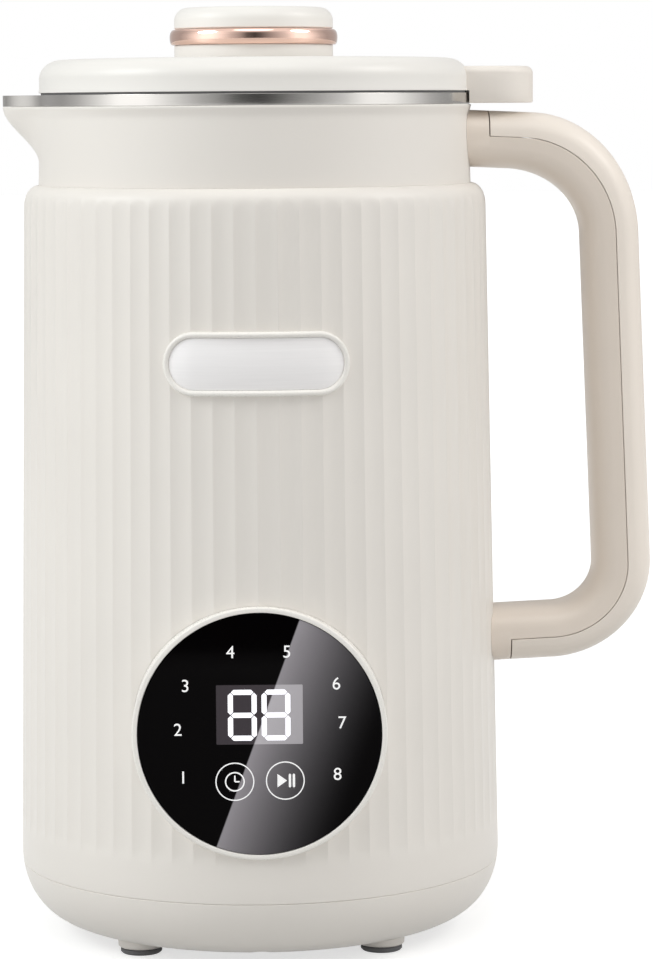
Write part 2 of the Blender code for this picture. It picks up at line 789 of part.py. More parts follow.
def make_pot():
    wall = POT_RADIUS + POT_WALL
    extra = SPOUT_REACH - NECK_RADIUS_HIGH
    slack = NECK_RADIUS_HIGH - NECK_WALL - GAP - wall
    levels = [mix(Z_SPOUT, Z_NECK_TOP - NECK_EDGE, i / 3) for i in range(4)]
    rings = [spouted_ring(POT_HOLE_RADIUS, 0, Z_POT_FLOOR)]
    for i in range(3):
        angle = math.pi / 4 * i
        radius = POT_RADIUS - POT_CORNER * (1 - math.sin(angle))
        rings.append(spouted_ring(radius, 0, Z_POT_FLOOR + POT_CORNER * (1 - math.cos(angle))))
    for z in levels:
        rings.append(spouted_ring(POT_RADIUS, (extra + slack) * spout_share(z), z))
    rim_extra = SPOUT_REACH - RIM_RADIUS
    rings.append(spouted_ring(RIM_INNER_RADIUS, rim_extra, Z_RIM_TOP))
    rings.append(spouted_ring(RIM_RADIUS - RIM_EDGE, rim_extra, Z_RIM_TOP))
    rings.append(spouted_ring(RIM_RADIUS, rim_extra, Z_RIM_TOP - RIM_EDGE))
    rings.append(spouted_ring(RIM_RADIUS, rim_extra, Z_FLANGE))
    rings.append(spouted_ring(wall, extra + slack, Z_FLANGE))
    for z in reversed(levels[:-1]):
        rings.append(spouted_ring(wall, (extra + slack) * spout_share(z), z))
    for i in range(2, -1, -1):
        angle = math.pi / 4 * i
        corner = POT_CORNER + POT_WALL
        radius = wall - corner * (1 - math.sin(angle))
        rings.append(spouted_ring(radius, 0, Z_POT + corner * (1 - math.cos(angle))))
    rings.append(spouted_ring(POT_HOLE_RADIUS, 0, Z_POT))
    pot = piece("pot", loft(rings, loop=True), "housing", STEEL, 0.25, 1.0)
    reach = wall + OVERRUN
    hole = turn_to(rod(PROBE_RADIUS + GAP, POT_RADIUS - OVERRUN, reach, SCREW_STEPS), "Y", (0, 0, probe_z()))
    cut(pot, tool("probe_hole", hole))


def probe_z():
    return Z_NECK_TOP - PROBE_DROP


def make_overflow_probe():
    """A steel stud through the pot's back wall that feels the foam."""
    wall = POT_RADIUS + POT_WALL
    profile = [
        (0, POT_RADIUS - PROBE_REACH),
        (PROBE_RADIUS, POT_RADIUS - PROBE_REACH),
        (PROBE_RADIUS, wall + GAP),
        (PROBE_FLANGE_RADIUS, wall + GAP),
        (PROBE_FLANGE_RADIUS, wall + GAP + PROBE_FLANGE_THICKNESS),
        (0, wall + GAP + PROBE_FLANGE_THICKNESS),
    ]
    shape = turn_to(turned(profile, SCREW_STEPS), "Y", (0, 0, probe_z()))
    piece("overflow_probe", shape, "housing", STEEL, 0.3, 1.0)


def make_base_bowl():
    lip = sleeve_inner(Z_SEAM + GAP) - GAP
    profile = [(0, Z_BOWL), (BOTTOM_RADIUS, Z_BOWL)]
    for i in range(1, CORNER_STEPS + 1):
        share = i / CORNER_STEPS
        z = Z_BOWL + BASE_HEIGHT * share * share
        profile.append((body_radius(z), z))
    profile += [(lip, Z_SEAM), (lip, Z_SEAM + LIP_HEIGHT), (lip - LIP_WALL, Z_SEAM + LIP_HEIGHT)]
    for i in range(CORNER_STEPS - 1, 1, -2):
        share = i / CORNER_STEPS
        z = Z_BOWL + BASE_HEIGHT * share * share
        profile.append((body_radius(z) - SHELL_WALL, z + SHELL_WALL / 2))
    profile += [(BOTTOM_RADIUS - SHELL_WALL, Z_FLOOR), (0, Z_FLOOR)]
    bowl = piece("base_bowl", turned(profile, FINE_STEPS), "housing", CREAM, 0.5)
    bosses = [rod(FOOT_BOSS_RADIUS, FOOT_PAD_THICKNESS + GAP, Z_FLOOR, SMALL_STEPS, at) for at in foot_places()]
    join(bowl, tool("foot_bosses", merged(bosses)))
    posts = []
    heads = []
    for angle in BASE_SCREW_ANGLES:
        at = polar(BASE_SCREW_CIRCLE, angle)
        posts.append(rod(BASE_POST_RADIUS, Z_FLOOR, Z_SEAM + LIP_HEIGHT, SMALL_STEPS, at))
        heads.append(rod(SCREW_HEAD_RADIUS + GAP, Z_BOWL - OVERRUN, screw_seat(), SCREW_STEPS, at))
    join(bowl, tool("base_posts", merged(posts)))
    cut(bowl, tool("base_screw_recesses", merged(heads)))
    holes = []
    for angle in BASE_SCREW_ANGLES:
        at = polar(BASE_SCREW_CIRCLE, angle)
        holes.append(rod(SCREW_RADIUS + GAP, Z_BOWL, Z_SEAM + LIP_HEIGHT + OVERRUN, SCREW_STEPS, at))
    cut(bowl, tool("base_screw_holes", merged(holes)))
    stems = []
    for at in foot_places():
        high = FOOT_PAD_THICKNESS + FOOT_STEM_HEIGHT + GAP
        stems.append(rod(FOOT_STEM_RADIUS + GAP, 0, high, SCREW_STEPS, at))
    cut(bowl, tool("foot_sockets", merged(stems)))
    vents = []
    for i in range(VENT_COUNT):
        angle = math.tau * (i + 0.5) / VENT_COUNT
        across = Vector((-math.sin(angle), math.cos(angle))) * VENT_WIDTH / 2
        along = Vector((math.cos(angle), math.sin(angle)))
        corners = []
        for reach, side in ((VENT_INNER_RADIUS, -1), (VENT_OUTER_RADIUS, -1), (VENT_OUTER_RADIUS, 1), (VENT_INNER_RADIUS, 1)):
            point = along * reach + across * side
            corners.append((point.x, point.y))
        vents.append(extruded(corners, [], Z_BOWL - OVERRUN, Z_FLOOR + OVERRUN))
    cut(bowl, tool("air_inlets", merged(vents)))


def screw_seat():
    return Z_BOWL + SCREW_RECESS


def foot_places():
    return [(sx * FOOT_SPREAD_X, sy * FOOT_SPREAD_Y) for sy in (-1, 1) for sx in (-1, 1)]


def make_feet():
    names = ("foot_front_left", "foot_front_right", "foot_rear_left", "foot_rear_right")
    for name, at in zip(names, foot_places()):
        profile = [
            (0, 0),
            (FOOT_RADIUS, 0),
            (FOOT_RADIUS, FOOT_PAD_THICKNESS),
            (FOOT_STEM_RADIUS, FOOT_PAD_THICKNESS),
            (FOOT_STEM_RADIUS, FOOT_PAD_THICKNESS + FOOT_STEM_HEIGHT),
            (0, FOOT_PAD_THICKNESS + FOOT_STEM_HEIGHT),
        ]
        piece(name, turned(profile, SMALL_STEPS, at), "housing", RUBBER, 0.8)


def screw_shape(radius, head_radius, head_height, head_low, length, centre=(0, 0)):
    """A screw pointing up, its head at the bottom."""
    profile = [
        (0, head_low),
        (head_radius, head_low),
        (head_radius, head_low + head_height),
        (radius, head_low + head_height),
        (radius, head_low + head_height + length),
        (0, head_low + head_height + length),
    ]
    return turned(profile, SCREW_STEPS, centre)


def make_base_screws():
    top = Z_SEAM + LIP_HEIGHT + GAP + SCREW_BITE
    low = screw_seat() - GAP - SCREW_HEAD_HEIGHT
    length = top - low - SCREW_HEAD_HEIGHT
    for i, angle in enumerate(BASE_SCREW_ANGLES):
        at = polar(BASE_SCREW_CIRCLE, angle)
        shape = screw_shape(SCREW_RADIUS, SCREW_HEAD_RADIUS, SCREW_HEAD_HEIGHT, low, length, at)
        piece(f"base_screw_{i + 1}", shape, "housing", STEEL, 0.35, 1.0)


def handle_edge(outer):
    """Points (x, z) down one edge of the handle: upper arm, corner, grip, corner, lower arm."""
    reach_low = HANDLE_REACH
    reach_top = HANDLE_REACH - GRIP_LEAN
    root = POT_RADIUS
    if outer:
        tall = OUTER_TOP_CORNER
        low_tall = OUTER_LOW_CORNER
        wide_share = OUTER_TOP_WIDTH_SHARE
        low_share = OUTER_LOW_WIDTH_SHARE
        z_root = Z_HANDLE_TOP
        z_arm = Z_HANDLE_TOP - HANDLE_TOP_FALL
        z_end = Z_HANDLE_FOOT
    else:
        tall = INNER_TOP_CORNER
        low_tall = INNER_LOW_CORNER
        wide_share = INNER_TOP_WIDTH_SHARE
        low_share = INNER_LOW_WIDTH_SHARE
        reach_low -= GRIP_THICKNESS
        reach_top -= GRIP_THICKNESS
        z_root = Z_HANDLE_TOP - UPPER_ARM_THICKNESS
        z_arm = z_root - INNER_TOP_FALL
        z_end = Z_HANDLE_FOOT + LOWER_ARM_THICKNESS
    z_low_arm = z_end + LOWER_ARM_RISE
    wide = wide_share * (reach_top - SHOULDER_RADIUS)
    low_wide = low_share * (reach_low - BODY_RADIUS)
    points = [(root, z_root)]
    for i in range(HANDLE_CORNER_STEPS + 1):
        angle = math.pi / 2 * i / HANDLE_CORNER_STEPS
        points.append((reach_top - wide * (1 - math.sin(angle)), z_arm - tall * (1 - math.cos(angle))))
    x_top, z_top = points[-1]
    z_low = z_low_arm + low_tall
    for i in range(1, HANDLE_GRIP_STEPS):
        share = i / HANDLE_GRIP_STEPS
        points.append((mix(x_top, reach_low, share), mix(z_top, z_low, share)))
    for i in range(HANDLE_CORNER_STEPS + 1):
        angle = math.pi / 2 * i / HANDLE_CORNER_STEPS
        points.append((reach_low - low_wide * (1 - math.cos(angle)), z_low_arm + low_tall * (1 - math.sin(angle))))
    points.append((root, z_end))
    return points


def arm_station(x, upper):
    """A pair of points (inner edge, outer edge) straight above each other on an arm."""
    pair = []
    for outer in (False, True):
        points = handle_edge(outer)
        (x0, z0), (x1, z1) = points[:2] if upper else points[:-3:-1]
        pair.append((x, mix(z0, z1, (x - x0) / (x1 - x0))))
    return pair


def section_point(angle, side):
    """A point (share, y) of the section; angle runs from the edge to the middle of the section."""
    power = 2 / HANDLE_SECTION_POWER
    share = 0.5 + side * 0.5 * math.cos(angle) ** power
    return (share, HANDLE_DEPTH / 2 * math.sin(angle) ** power)


def half_depth(share):
    return HANDLE_DEPTH / 2 * (1 - abs(2 * share - 1) ** HANDLE_SECTION_POWER) ** (1 / HANDLE_SECTION_POWER)


def mirrored(points):
    """The points as given, then mirrored in y and in the other order."""
    return points + [(share, -y) for share, y in reversed(points)]


def near_side(cut_share):
    points = [(cut_share, half_depth(cut_share)), (0.5, HANDLE_DEPTH / 2)]
    for i in range(HANDLE_SECTION_STEPS, 0, -1):
        points.append(section_point(math.pi / 2 * i / (HANDLE_SECTION_STEPS + 1), -1))
    return [(share, -y) for share, y in mirrored(points)]


def far_side():
    points = []
    for i in range(4, 0, -1):
        points.append(section_point(math.pi / 2 * (i - 0.5) / 4.5, 1))
    return mirrored(points)


def flat_side(cut_share):
    """Eight points straight across the section."""
    half = half_depth(cut_share)
    return mirrored([(cut_share, half * (1 - i / 4.5)) for i in range(1, 5)])


def channel_side(cut_share, floor_share):
    """Eight points round the hollow between the cut and the wall."""
    half = HANDLE_DEPTH / 2 - HANDLE_WALL
    turn_share = mix(floor_share, cut_share, 0.2)
    middle_share = (cut_share + floor_share) / 2
    return mirrored([(cut_share, half), (middle_share, half), (turn_share, half), (floor_share, half - HANDLE_WALL)])


def handle_rings(rows):
    """Rings from rows of (pair of edge points, outline of shares)."""
    rings = []
    for ((xi, zi), (xo, zo)), outline in rows:
        rings.append([Vector((mix(xi, xo, share), y, mix(zi, zo, share))) for share, y in outline])
    return rings


def handle_cavity_start():
    return mix(COVER_START, handle_edge(False)[1][0], CAVITY_START_SHARE)


def make_handle():
    seam_share = 1 - COVER_THICKNESS / GRIP_THICKNESS
    cut_share = seam_share - GAP / GRIP_THICKNESS
    wall_share = HANDLE_WALL / GRIP_THICKNESS
    curve = list(zip(handle_edge(False), handle_edge(True)))[1:-1]
    cavity_start = handle_cavity_start()
    cavity_end = mix(COVER_END, curve[-1][0][0], CAVITY_END_SHARE)
    shell_start = COVER_START - GAP
    shell_end = COVER_END - GAP
    full = near_side(cut_share) + far_side()
    solid = near_side(cut_share) + flat_side(cut_share)
    hollow = near_side(cut_share) + channel_side(cut_share, wall_share)
    rows = [
        (arm_station(POT_RADIUS, True), full),
        (arm_station(shell_start - HANDLE_STEP, True), full),
        (arm_station(shell_start, True), solid),
        (arm_station(cavity_start - HANDLE_STEP, True), solid),
        (arm_station(cavity_start, True), hollow),
    ]
    rows += [(pair, hollow) for pair in curve]
    rows += [
        (arm_station(cavity_end, False), hollow),
        (arm_station(cavity_end - HANDLE_STEP, False), solid),
        (arm_station(shell_end, False), solid),
        (arm_station(shell_end - HANDLE_STEP, False), full),
        (arm_station(POT_RADIUS, False), full),
    ]
    shell = piece("handle_inner_shell", loft(handle_rings(rows), split=True), "housing", WARM_CREAM, 0.5)
    edge = half_depth(seam_share)
    rim = [(seam_share, edge), *far_side(), (seam_share, -edge)]
    solid = rim + flat_side(seam_share)[::-1]
    hollow = rim + channel_side(seam_share, 1 - wall_share)[::-1]
    rows = [
        (arm_station(COVER_START, True), solid),
        (arm_station(cavity_start - HANDLE_STEP, True), solid),
        (arm_station(cavity_start, True), hollow),
    ]
    rows += [(pair, hollow) for pair in curve]
    rows += [
        (arm_station(cavity_end, False), hollow),
        (arm_station(cavity_end - HANDLE_STEP, False), solid),
        (arm_station(COVER_END, False), solid),
    ]
    piece("handle_outer_cover", loft(handle_rings(rows), split=True), "housing", WARM_CREAM, 0.5)
    profile = [(0, Z_HANDLE_FOOT - OVERRUN)]
    for z in (Z_HANDLE_FOOT - OVERRUN, Z_SHOULDER_FOOT):
        profile.append((body_radius(z) + GAP, z))
    profile.append((NECK_RADIUS_LOW + GAP, Z_SHOULDER))
    profile.append((NECK_RADIUS_HIGH + GAP, Z_NECK_TOP))
    profile.append((0, Z_NECK_TOP))
    cut(shell, tool("body_clearance", turned(profile, 2 * FLUTE_COUNT)))
    upper_end = neck_radius(upper_screw_z()) + HANDLE_SCREW_BITE
    lower_end = body_radius(lower_screw_z()) + HANDLE_SCREW_BITE
    cut(shell, screw_along_x("upper_screw_bore", upper_screw_z(), POT_RADIUS, upper_end))
    cut(shell, screw_along_x("lower_screw_bore", lower_screw_z(), POT_RADIUS, lower_end))


def make_handle_screws():
    places = (
        ("handle_screw_upper", upper_screw_z(), neck_radius(upper_screw_z()) - NECK_WALL),
        ("handle_screw_lower", lower_screw_z(), sleeve_inner(lower_screw_z())),
    )
    for name, z, wall in places:
        low = wall - GAP - SCREW_HEAD_HEIGHT
        length = SHELL_WALL + HANDLE_SCREW_BITE - GAP
        shape = screw_shape(HANDLE_SCREW_RADIUS, SCREW_HEAD_RADIUS, SCREW_HEAD_HEIGHT, low, length)
        piece(name, turn_to(shape, "X", (0, 0, z)), "housing", STEEL, 0.35, 1.0)


def make_reed_switch():
    """Lies under the cover's roof, below the magnet in the lid's tab."""
    roof = Z_HANDLE_TOP - HANDLE_TOP_FALL - UPPER_ARM_THICKNESS * HANDLE_WALL / GRIP_THICKNESS
    high = roof - GAP
    start = handle_cavity_start() + REED_SPACE
    low = (start, -REED_WIDTH / 2, high - REED_HEIGHT)
    shape = box(low, (start + REED_LENGTH, REED_WIDTH / 2, high))
    piece("reed_switch", shape, "housing", BLACK, 0.5)


def make_panel():
    front = -PANEL_FACE
    outer = PANEL_RADIUS + BEZEL_WIDTH
    shelf = front + LENS_SINK + LENS_THICKNESS + GAP
    board = shelf + SHELF_THICKNESS + GAP
    profile = [
        (PANEL_RADIUS + GAP, front),
        (outer, front),
        (outer, front + BEZEL_DEPTH),
        (PANEL_RADIUS, front + BEZEL_DEPTH),
        (PANEL_RADIUS, shelf + SHELF_THICKNESS),
        (PANEL_RADIUS - SHELF_WIDTH, shelf + SHELF_THICKNESS),
        (PANEL_RADIUS - SHELF_WIDTH, shelf),
        (PANEL_RADIUS + GAP, shelf),
    ]
    at = (0, 0, Z_PANEL)
    piece("panel_bezel", turn_to(turned(profile, FINE_STEPS), "Y", at), "housing", CREAM, 0.5)
    lens = rod(PANEL_RADIUS, front + LENS_SINK, front + LENS_SINK + LENS_THICKNESS, FINE_STEPS)
    piece("panel_lens", turn_to(lens, "Y", at), "housing", BLACK, 0.08)
    plate = rod(PANEL_RADIUS - GAP, board, board + BOARD_THICKNESS, FINE_STEPS)
    piece("display_board", turn_to(plate, "Y", at), "housing", BOARD_GREEN, 0.5)
    z = Z_PANEL + DIGIT_RISE
    low = (-DIGIT_WIDTH / 2, shelf, z - DIGIT_HEIGHT / 2)
    high = (DIGIT_WIDTH / 2, board - GAP, z + DIGIT_HEIGHT / 2)
    piece("digit_display", box(low, high), "housing", WHITE_LIGHT, 0.4)
    for name, side in (("touch_pad_left", -1), ("touch_pad_right", 1)):
        pad = rod(TOUCH_RADIUS, shelf, board - GAP, SMALL_STEPS)
        at_pad = (side * TOUCH_OFFSET_X, 0, Z_PANEL - TOUCH_DROP)
        piece(name, turn_to(pad, "Y", at_pad), "housing", SILICONE, 0.7)


def stadium_path(width, height, steps):
    """Points (along, up) round a bar with round ends."""
    radius = height / 2
    straight = width / 2 - radius
    points = []
    for side, start in ((1, -math.pi / 2), (-1, math.pi / 2)):
        for i in range(steps + 1):
            angle = start + math.pi * i / steps
            points.append((side * straight + radius * math.cos(angle), radius * math.sin(angle)))
        for i in range(1, steps):
            points.append((side * straight * (1 - 2 * i / steps), side * radius))
    return points


def on_sleeve(along, up, proud):
    """A point on the sleeve's front, by its way round from the middle, its height and its rise."""
    z = Z_PLATE + up
    angle = along / body_radius(Z_PLATE)
    radius = body_radius(z) + proud
    return Vector((radius * math.sin(angle), -radius * math.cos(angle), z))


def make_name_plate():
    steps = 2 * CORNER_STEPS
    rings = []
    outer = stadium_path(PLATE_WIDTH, PLATE_HEIGHT, steps)
    inner = stadium_path(PLATE_WIDTH - 2 * PLATE_FRAME_WIDTH, PLATE_HEIGHT - 2 * PLATE_FRAME_WIDTH, steps)
    for path, proud in ((outer, PLATE_BACK), (outer, PLATE_FRAME_PROUD), (inner, PLATE_FRAME_PROUD), (inner, PLATE_BACK)):
        rings.append([on_sleeve(along, up, proud) for along, up in path])
    piece("plate_frame", loft(rings, loop=True), "housing", CREAM, 0.45)
    half_height = PLATE_HEIGHT / 2 - PLATE_FRAME_WIDTH - GAP
    half_width = PLATE_WIDTH / 2 - PLATE_FRAME_WIDTH - GAP
    straight = half_width - half_height
    stations = []
    for i in range(steps):
        angle = math.pi / 2 * (i + 0.5) / steps
        stations.append(-straight - half_height * math.cos(angle))
    stations += [straight * (2 * i / steps - 1) for i in range(steps + 1)]
    stations += [-along for along in reversed(stations[:steps])]
    rings = []
    for along in stations:
        past = max(0.0, abs(along) - straight)
        up = math.sqrt(half_height ** 2 - past ** 2)
        corners = ((-up, PLATE_BACK), (up, PLATE_BACK), (up, PLATE_PROUD), (-up, PLATE_PROUD))
        rings.append([on_sleeve(along, height, proud) for height, proud in corners])
    piece("name_plate", loft(rings), "housing", PLATE_GREY, 0.35)


def inlet_block(slack):
    face = body_radius(Z_INLET) + INLET_PROUD
    half_x = INLET_WIDTH / 2 + slack
    half_z = INLET_HEIGHT / 2 + slack
    low = (-half_x, face - INLET_DEPTH - slack, Z_INLET - half_z)
    high = (half_x, face + (OVERRUN if slack else 0), Z_INLET + half_z)
    return box(low, high)


def make_power_inlet():
    face = body_radius(Z_INLET) + INLET_PROUD
    floor = face - INLET_DEPTH + INLET_BACK
    half_x = INLET_WIDTH / 2 - INLET_WALL
    half_z = INLET_HEIGHT / 2 - INLET_WALL
    inlet = piece("power_inlet", inlet_block(0), "housing", BLACK, 0.4)
    room = box((-half_x, floor, Z_INLET - half_z), (half_x, face + OVERRUN, Z_INLET + half_z))
    cut(inlet, tool("inlet_recess", room))
    pins = []
    for x, lift in ((-PIN_SPACING, -1), (0, 1), (PIN_SPACING, -1)):
        z = Z_INLET + lift * PIN_HEIGHT / 2
        low = (x - PIN_WIDTH / 2, floor - INLET_BACK / 2, z - PIN_HEIGHT / 2)
        pins.append(box(low, (x + PIN_WIDTH / 2, floor + PIN_LENGTH, z + PIN_HEIGHT / 2)))
    join(inlet, tool("inlet_pins", merged(pins)))


def make_chassis(panel_hole):
    outer = sleeve_inner(Z_CHASSIS_TOP) - GAP
    chassis = piece(
        "chassis_plate",
        tube(CHASSIS_HOLE_RADIUS, outer, Z_CHASSIS, Z_CHASSIS_TOP, FINE_STEPS),
        "housing", CREAM, 0.6,
    )
    top = Z_POT - GAP - SPREADER_THICKNESS - GAP
    posts = [rod(POST_RADIUS, Z_CHASSIS + GAP, top, SMALL_STEPS, polar(POST_CIRCLE, a)) for a in POST_ANGLES]
    join(chassis, tool("pot_posts", merged(posts)))
    cut(chassis, panel_hole)
    holes = []
    for side in (-1, 1):
        at = (side * MOTOR_SCREW_SPREAD, 0)
        holes.append(rod(SCREW_RADIUS + GAP, Z_CHASSIS - OVERRUN, Z_CHASSIS_TOP + OVERRUN, SCREW_STEPS, at))
    cut(chassis, tool("motor_screw_holes", merged(holes)))


def make_motor_screws():
    for name, side in (("motor_screw_left", -1), ("motor_screw_right", 1)):
        at = (side * MOTOR_SCREW_SPREAD, 0)
        shape = screw_shape(SCREW_RADIUS, SCREW_HEAD_RADIUS, SCREW_HEAD_HEIGHT, 0, CHASSIS_THICKNESS + SCREW_BITE / 2, at)
        head_top = Z_CHASSIS_TOP + GAP + SCREW_HEAD_HEIGHT
        for vert in shape.verts:
            vert.co.z = head_top - vert.co.z
        piece(name, shape, "housing", STEEL, 0.35, 1.0)


def bracket_arms(low_bar, leg_low, leg_high):
    """A bar across the motor with a leg at each end."""
    parts = [box((-BRACKET_HALF_LENGTH, -BRACKET_HALF_WIDTH, low_bar),
                 (BRACKET_HALF_LENGTH, BRACKET_HALF_WIDTH, low_bar + BRACKET_THICKNESS))]
    legs = []
    for side in (-1, 1):
        ends = sorted((side * BRACKET_HALF_LENGTH, side * (BRACKET_HALF_LENGTH - LEG_THICKNESS)))
        legs.append(box((ends[0], -LEG_HALF_WIDTH, leg_low), (ends[1], LEG_HALF_WIDTH, leg_high)))
    return parts[0], merged(legs)


def make_motor_brackets():
    low, legs = bracket_arms(Z_LOWER_BAR, Z_LOWER_BAR + BRACKET_THICKNESS / 2, Z_STATOR - GAP)
    lower = piece("motor_bottom_bracket", low, "housing", ALUMINIUM, 0.5, 1.0)
    join(lower, tool("lower_legs", legs))
    boss_top = Z_LOWER_BAR + LOWER_BOSS_HEIGHT
    join(lower, tool("lower_boss", rod(BEARING_BOSS_RADIUS, Z_LOWER_BAR, boss_top, SMALL_STEPS)))
    pocket = boss_top - BEARING_HEIGHT - GAP
    bore = [
        (0, Z_LOWER_BAR - OVERRUN),
        (SHAFT_RADIUS + 2 * GAP, Z_LOWER_BAR - OVERRUN),
        (SHAFT_RADIUS + 2 * GAP, pocket),
        (BEARING_RADIUS + GAP, pocket),
        (BEARING_RADIUS + GAP, boss_top + OVERRUN),
        (0, boss_top + OVERRUN),
    ]
    cut(lower, tool("lower_bearing_pocket", turned(bore, SMALL_STEPS)))
    ring = tube(SHAFT_RADIUS + RUNNING_GAP, BEARING_RADIUS, pocket + GAP, boss_top, SMALL_STEPS)
    piece("lower_bearing", ring, "housing", STEEL, 0.25, 1.0)

    high, legs = bracket_arms(Z_UPPER_BAR, Z_STATOR_TOP + GAP, Z_UPPER_BAR + BRACKET_THICKNESS / 2)
    upper = piece("motor_top_bracket", high, "housing", ALUMINIUM, 0.5, 1.0)
    join(upper, tool("upper_legs", legs))
    posts = [rod(BEARING_BOSS_RADIUS, Z_UPPER_BAR, Z_UPPER_BOSS_TOP, SMALL_STEPS)]
    for side in (-1, 1):
        at = (side * MOTOR_SCREW_SPREAD, 0)
        posts.append(rod(MOTOR_POST_RADIUS, Z_UPPER_BAR + GAP, Z_UPPER_BOSS_TOP, SMALL_STEPS, at))
    join(upper, tool("upper_bosses", merged(posts)))
    pocket = Z_UPPER_BAR + BEARING_HEIGHT - GAP
    bore = [
        (0, Z_UPPER_BAR - OVERRUN),
        (BEARING_RADIUS + GAP, Z_UPPER_BAR - OVERRUN),
        (BEARING_RADIUS + GAP, pocket),
        (SHAFT_RADIUS + 2 * GAP, pocket),
        (SHAFT_RADIUS + 2 * GAP, Z_UPPER_BOSS_TOP + OVERRUN),
        (0, Z_UPPER_BOSS_TOP + OVERRUN),
    ]
    cut(upper, tool("upper_bearing_pocket", turned(bore, SMALL_STEPS)))
    holes = []
    for side in (-1, 1):
        at = (side * MOTOR_SCREW_SPREAD, 0)
        low = Z_UPPER_BOSS_TOP - SCREW_BITE / 2
        holes.append(rod(SCREW_RADIUS + GAP, low, Z_UPPER_BOSS_TOP + OVERRUN, SCREW_STEPS, at))
    cut(upper, tool("bracket_screw_holes", merged(holes)))
    ring = tube(SHAFT_RADIUS + RUNNING_GAP, BEARING_RADIUS, Z_UPPER_BAR, pocket - GAP, SMALL_STEPS)
    piece("upper_bearing", ring, "housing", STEEL, 0.25, 1.0)


def stator_window():
    """The opening inside the laminations: bore, two pole shoes and the coil windows."""
    neck_yoke = math.acos(POLE_HALF_WIDTH / YOKE_INNER_RADIUS)
    neck_shoe = math.acos(POLE_HALF_WIDTH / SHOE_OUTER_RADIUS)
    tip = math.pi / 2 - SHOE_HALF_ANGLE
    quarter = arc(YOKE_INNER_RADIUS, 0, neck_yoke, ARC_STEPS)
    quarter += arc(SHOE_OUTER_RADIUS, neck_shoe, tip, 2)
    quarter += arc(SHOE_INNER_RADIUS, tip, math.pi / 2, ARC_STEPS)
    half = quarter + [(-x, y) for x, y in reversed(quarter[:-1])]
    return half[:-1] + [(-x, -y) for x, y in half[:-1]]


def make_stator():
    outline = arc(STATOR_RADIUS, 0, math.tau, FINE_STEPS)[:-1]
    shape = extruded(outline, [stator_window()], Z_STATOR, Z_STATOR_TOP)
    piece("stator_core", shape, "housing", IRON, 0.6, 0.6)
    side = POLE_HALF_WIDTH + GAP + COIL_RADIUS
    low = Z_STATOR - COIL_OVERHANG - COIL_RADIUS
    high = Z_STATOR_TOP + COIL_OVERHANG + COIL_RADIUS
    bend = COIL_RADIUS
    for name, front in (("field_coil_front", -1), ("field_coil_rear", 1)):
        path = []
        corners = ((side, low, 0), (side, high, 1), (-side, high, 2), (-side, low, 3))
        for x, z, quarter in corners:
            cx = x - math.copysign(bend, x)
            cz = z + (bend if z == low else -bend)
            for i in range(3):
                angle = -math.pi / 2 + math.pi / 2 * (quarter + i / 2)
                path.append((cx + bend * math.cos(angle), cz + bend * math.sin(angle)))
        rings = []
        count = len(path)
        for i, (x, z) in enumerate(path):
            before = Vector(path[i - 1])
            after = Vector(path[(i + 1) % count])
            along = (after - before).normalized()
            across = Vector((along.y, 0, -along.x))
            ring = []
            for k in range(8):
                angle = math.tau * (k + 0.5) / 8
                offset = across * COIL_RADIUS * math.cos(angle)
                centre = Vector((x, front * COIL_OFFSET, z))
                ring.append(centre + offset + Vector((0, COIL_RADIUS * math.sin(angle), 0)))
            rings.append(ring)
        piece(name, loft(rings, loop=True), "housing", COPPER, 0.4, 0.8)


def make_brushes():
    """A moulded carrier round the commutator with a brush sliding in each arm."""
    high = Z_UPPER_BAR - GAP
    low = high - 2 * HOLDER_WALL - 2 * GAP - BRUSH_HEIGHT
    half = BRUSH_HALF_WIDTH + GAP + HOLDER_WALL
    ring = tube(HOLDER_START, HOLDER_START + 2 * HOLDER_WALL, low, high, SMALL_STEPS)
    carrier = piece("brush_carrier", ring, "housing", BLACK, 0.5)
    inner = BRUSH_HALF_WIDTH + GAP
    arms = []
    rooms = []
    for name, side in (("left", -1), ("right", 1)):
        ends = sorted((side * (HOLDER_START + HOLDER_WALL), side * HOLDER_END))
        arms.append(box((ends[0], -half, low), (ends[1], half, high)))
        ends = sorted((side * (HOLDER_START - OVERRUN), side * (HOLDER_END - HOLDER_WALL)))
        rooms.append(box((ends[0], -inner, low + HOLDER_WALL), (ends[1], inner, high - HOLDER_WALL)))
        start = COMMUTATOR_RADIUS + RUNNING_GAP
        ends = sorted((side * start, side * (start + BRUSH_LENGTH)))
        z = low + HOLDER_WALL + GAP
        brush = box((ends[0], -BRUSH_HALF_WIDTH, z), (ends[1], BRUSH_HALF_WIDTH, z + BRUSH_HEIGHT))
        piece("carbon_brush_" + name, brush, "housing", CARBON, 0.7)
    join(carrier, tool("brush_arms", merged(arms)))
    cut(carrier, tool("brush_rooms", merged(rooms)))


